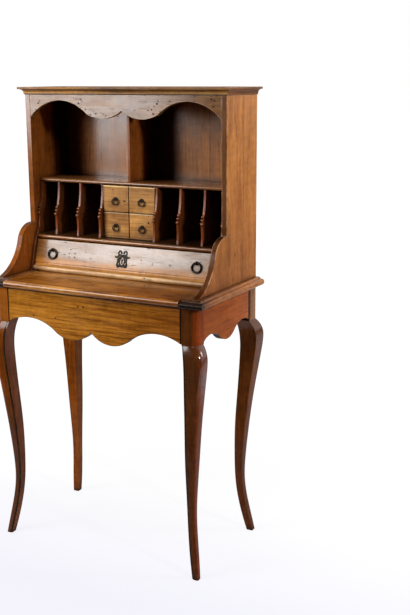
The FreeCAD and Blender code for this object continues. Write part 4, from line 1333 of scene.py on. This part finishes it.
def addFloor():
    mesh = bpy.data.meshes.new("studioFloor")
    half = studio["floorSize"] / 2
    corners = [(-half, -half, 0), (half, -half, 0), (half, half, 0), (-half, half, 0)]
    mesh.from_pydata(corners, [], [(0, 1, 2, 3)])
    floor = bpy.data.objects.new("studioFloor", mesh)
    scene.collection.objects.link(floor)
    material, tree = newMaterial("paleFloor")
    seen = addNode(tree, "ShaderNodeLightPath").outputs["Is Camera Ray"]
    place = addNode(tree, "ShaderNodeNewGeometry").outputs["Position"]
    depth = axesOf(place)["Y"]
    onPaper = calc("MAXIMUM", remap(depth, *studio["paperFront"]), seen)
    colour = blendColours(onPaper, opaque(studio["room"]), opaque(studio["floorColour"]))
    paper = link("ShaderNodeBsdfDiffuse", {"Color": colour})
    reach = vectorCalc("LENGTH", place)
    behind, beyond = remap(depth, *studio["whiteDepth"]), remap(reach, *studio["whiteReach"])
    white = calc("MAXIMUM", behind, beyond)
    tone = blendColours(white, opaque(studio["nearTone"]), (1, 1, 1, 1))
    glow = link("ShaderNodeEmission", {"Color": tone, "Strength": studio["paperWhite"]})
    far = remap(reach, *studio["glowReach"], studio["floorGlow"], 1.0)
    share = times(seen, far)
    both = link("ShaderNodeMixShader", {0: share, 1: paper[0], 2: glow[0]})
    link("ShaderNodeOutputMaterial", {"Surface": both[0]})
    mesh.materials.append(material)


def addWorld():
    world = bpy.data.worlds.new("whiteStudio")
    scene.world = world
    world.use_nodes = True
    tree = world.node_tree
    tree.nodes.clear()
    depth = axesOf(coordinates(tree, "Generated"))["Y"]
    studioSide = remap(depth, *studio["backRange"], studio["ambient"], studio["backLight"])
    path = addNode(tree, "ShaderNodeLightPath").outputs
    mirrored = calc("MAXIMUM", path["Is Glossy Ray"], path["Is Transmission Ray"])
    backdrop = times(mirrored, remap(depth, *studio["backRange"]))
    white = calc("MAXIMUM", path["Is Camera Ray"], backdrop)
    strength = blendValues(white, studioSide, 1.0)
    sky = link("ShaderNodeBackground", {"Color": (1, 1, 1, 1), "Strength": strength})
    link("ShaderNodeOutputWorld", {"Surface": sky[0]})


# place, aim, size and power
softboxes = {
    "frontLeft": ((-1.516, -1.858, 1.72), (0.0, 0.0, 1.72), (1.6, 1.6), 58.0),
    "right": ((3.0, -0.9, 1.8), (0.2, 0.0, 0.8), (0.25, 0.35), 38.0),
    "rightBack": ((2.9, 1.4, 1.9), (0.2, 0.0, 0.8), (0.5, 0.8), 28.0),
    "overhead": ((0.1, -0.9, 3.4), (0.0, -0.1, 0.8), (1.6, 1.2), 36.0),
}


def addSoftbox(name, place, aim, size, power):
    data = bpy.data.lights.new(name, "AREA")
    data.shape = "ELLIPSE"
    data.size, data.size_y = size
    data.energy = power
    lamp = bpy.data.objects.new(name, data)
    lamp.location = place
    lamp.rotation_euler = (Vector(aim) - Vector(place)).to_track_quat("-Z", "Y").to_euler()
    scene.collection.objects.link(lamp)


addFloor()
addWorld()
for name, box in softboxes.items():
    addSoftbox(name, *box)
scene.view_settings.view_transform = "Standard"
print("stage lit")
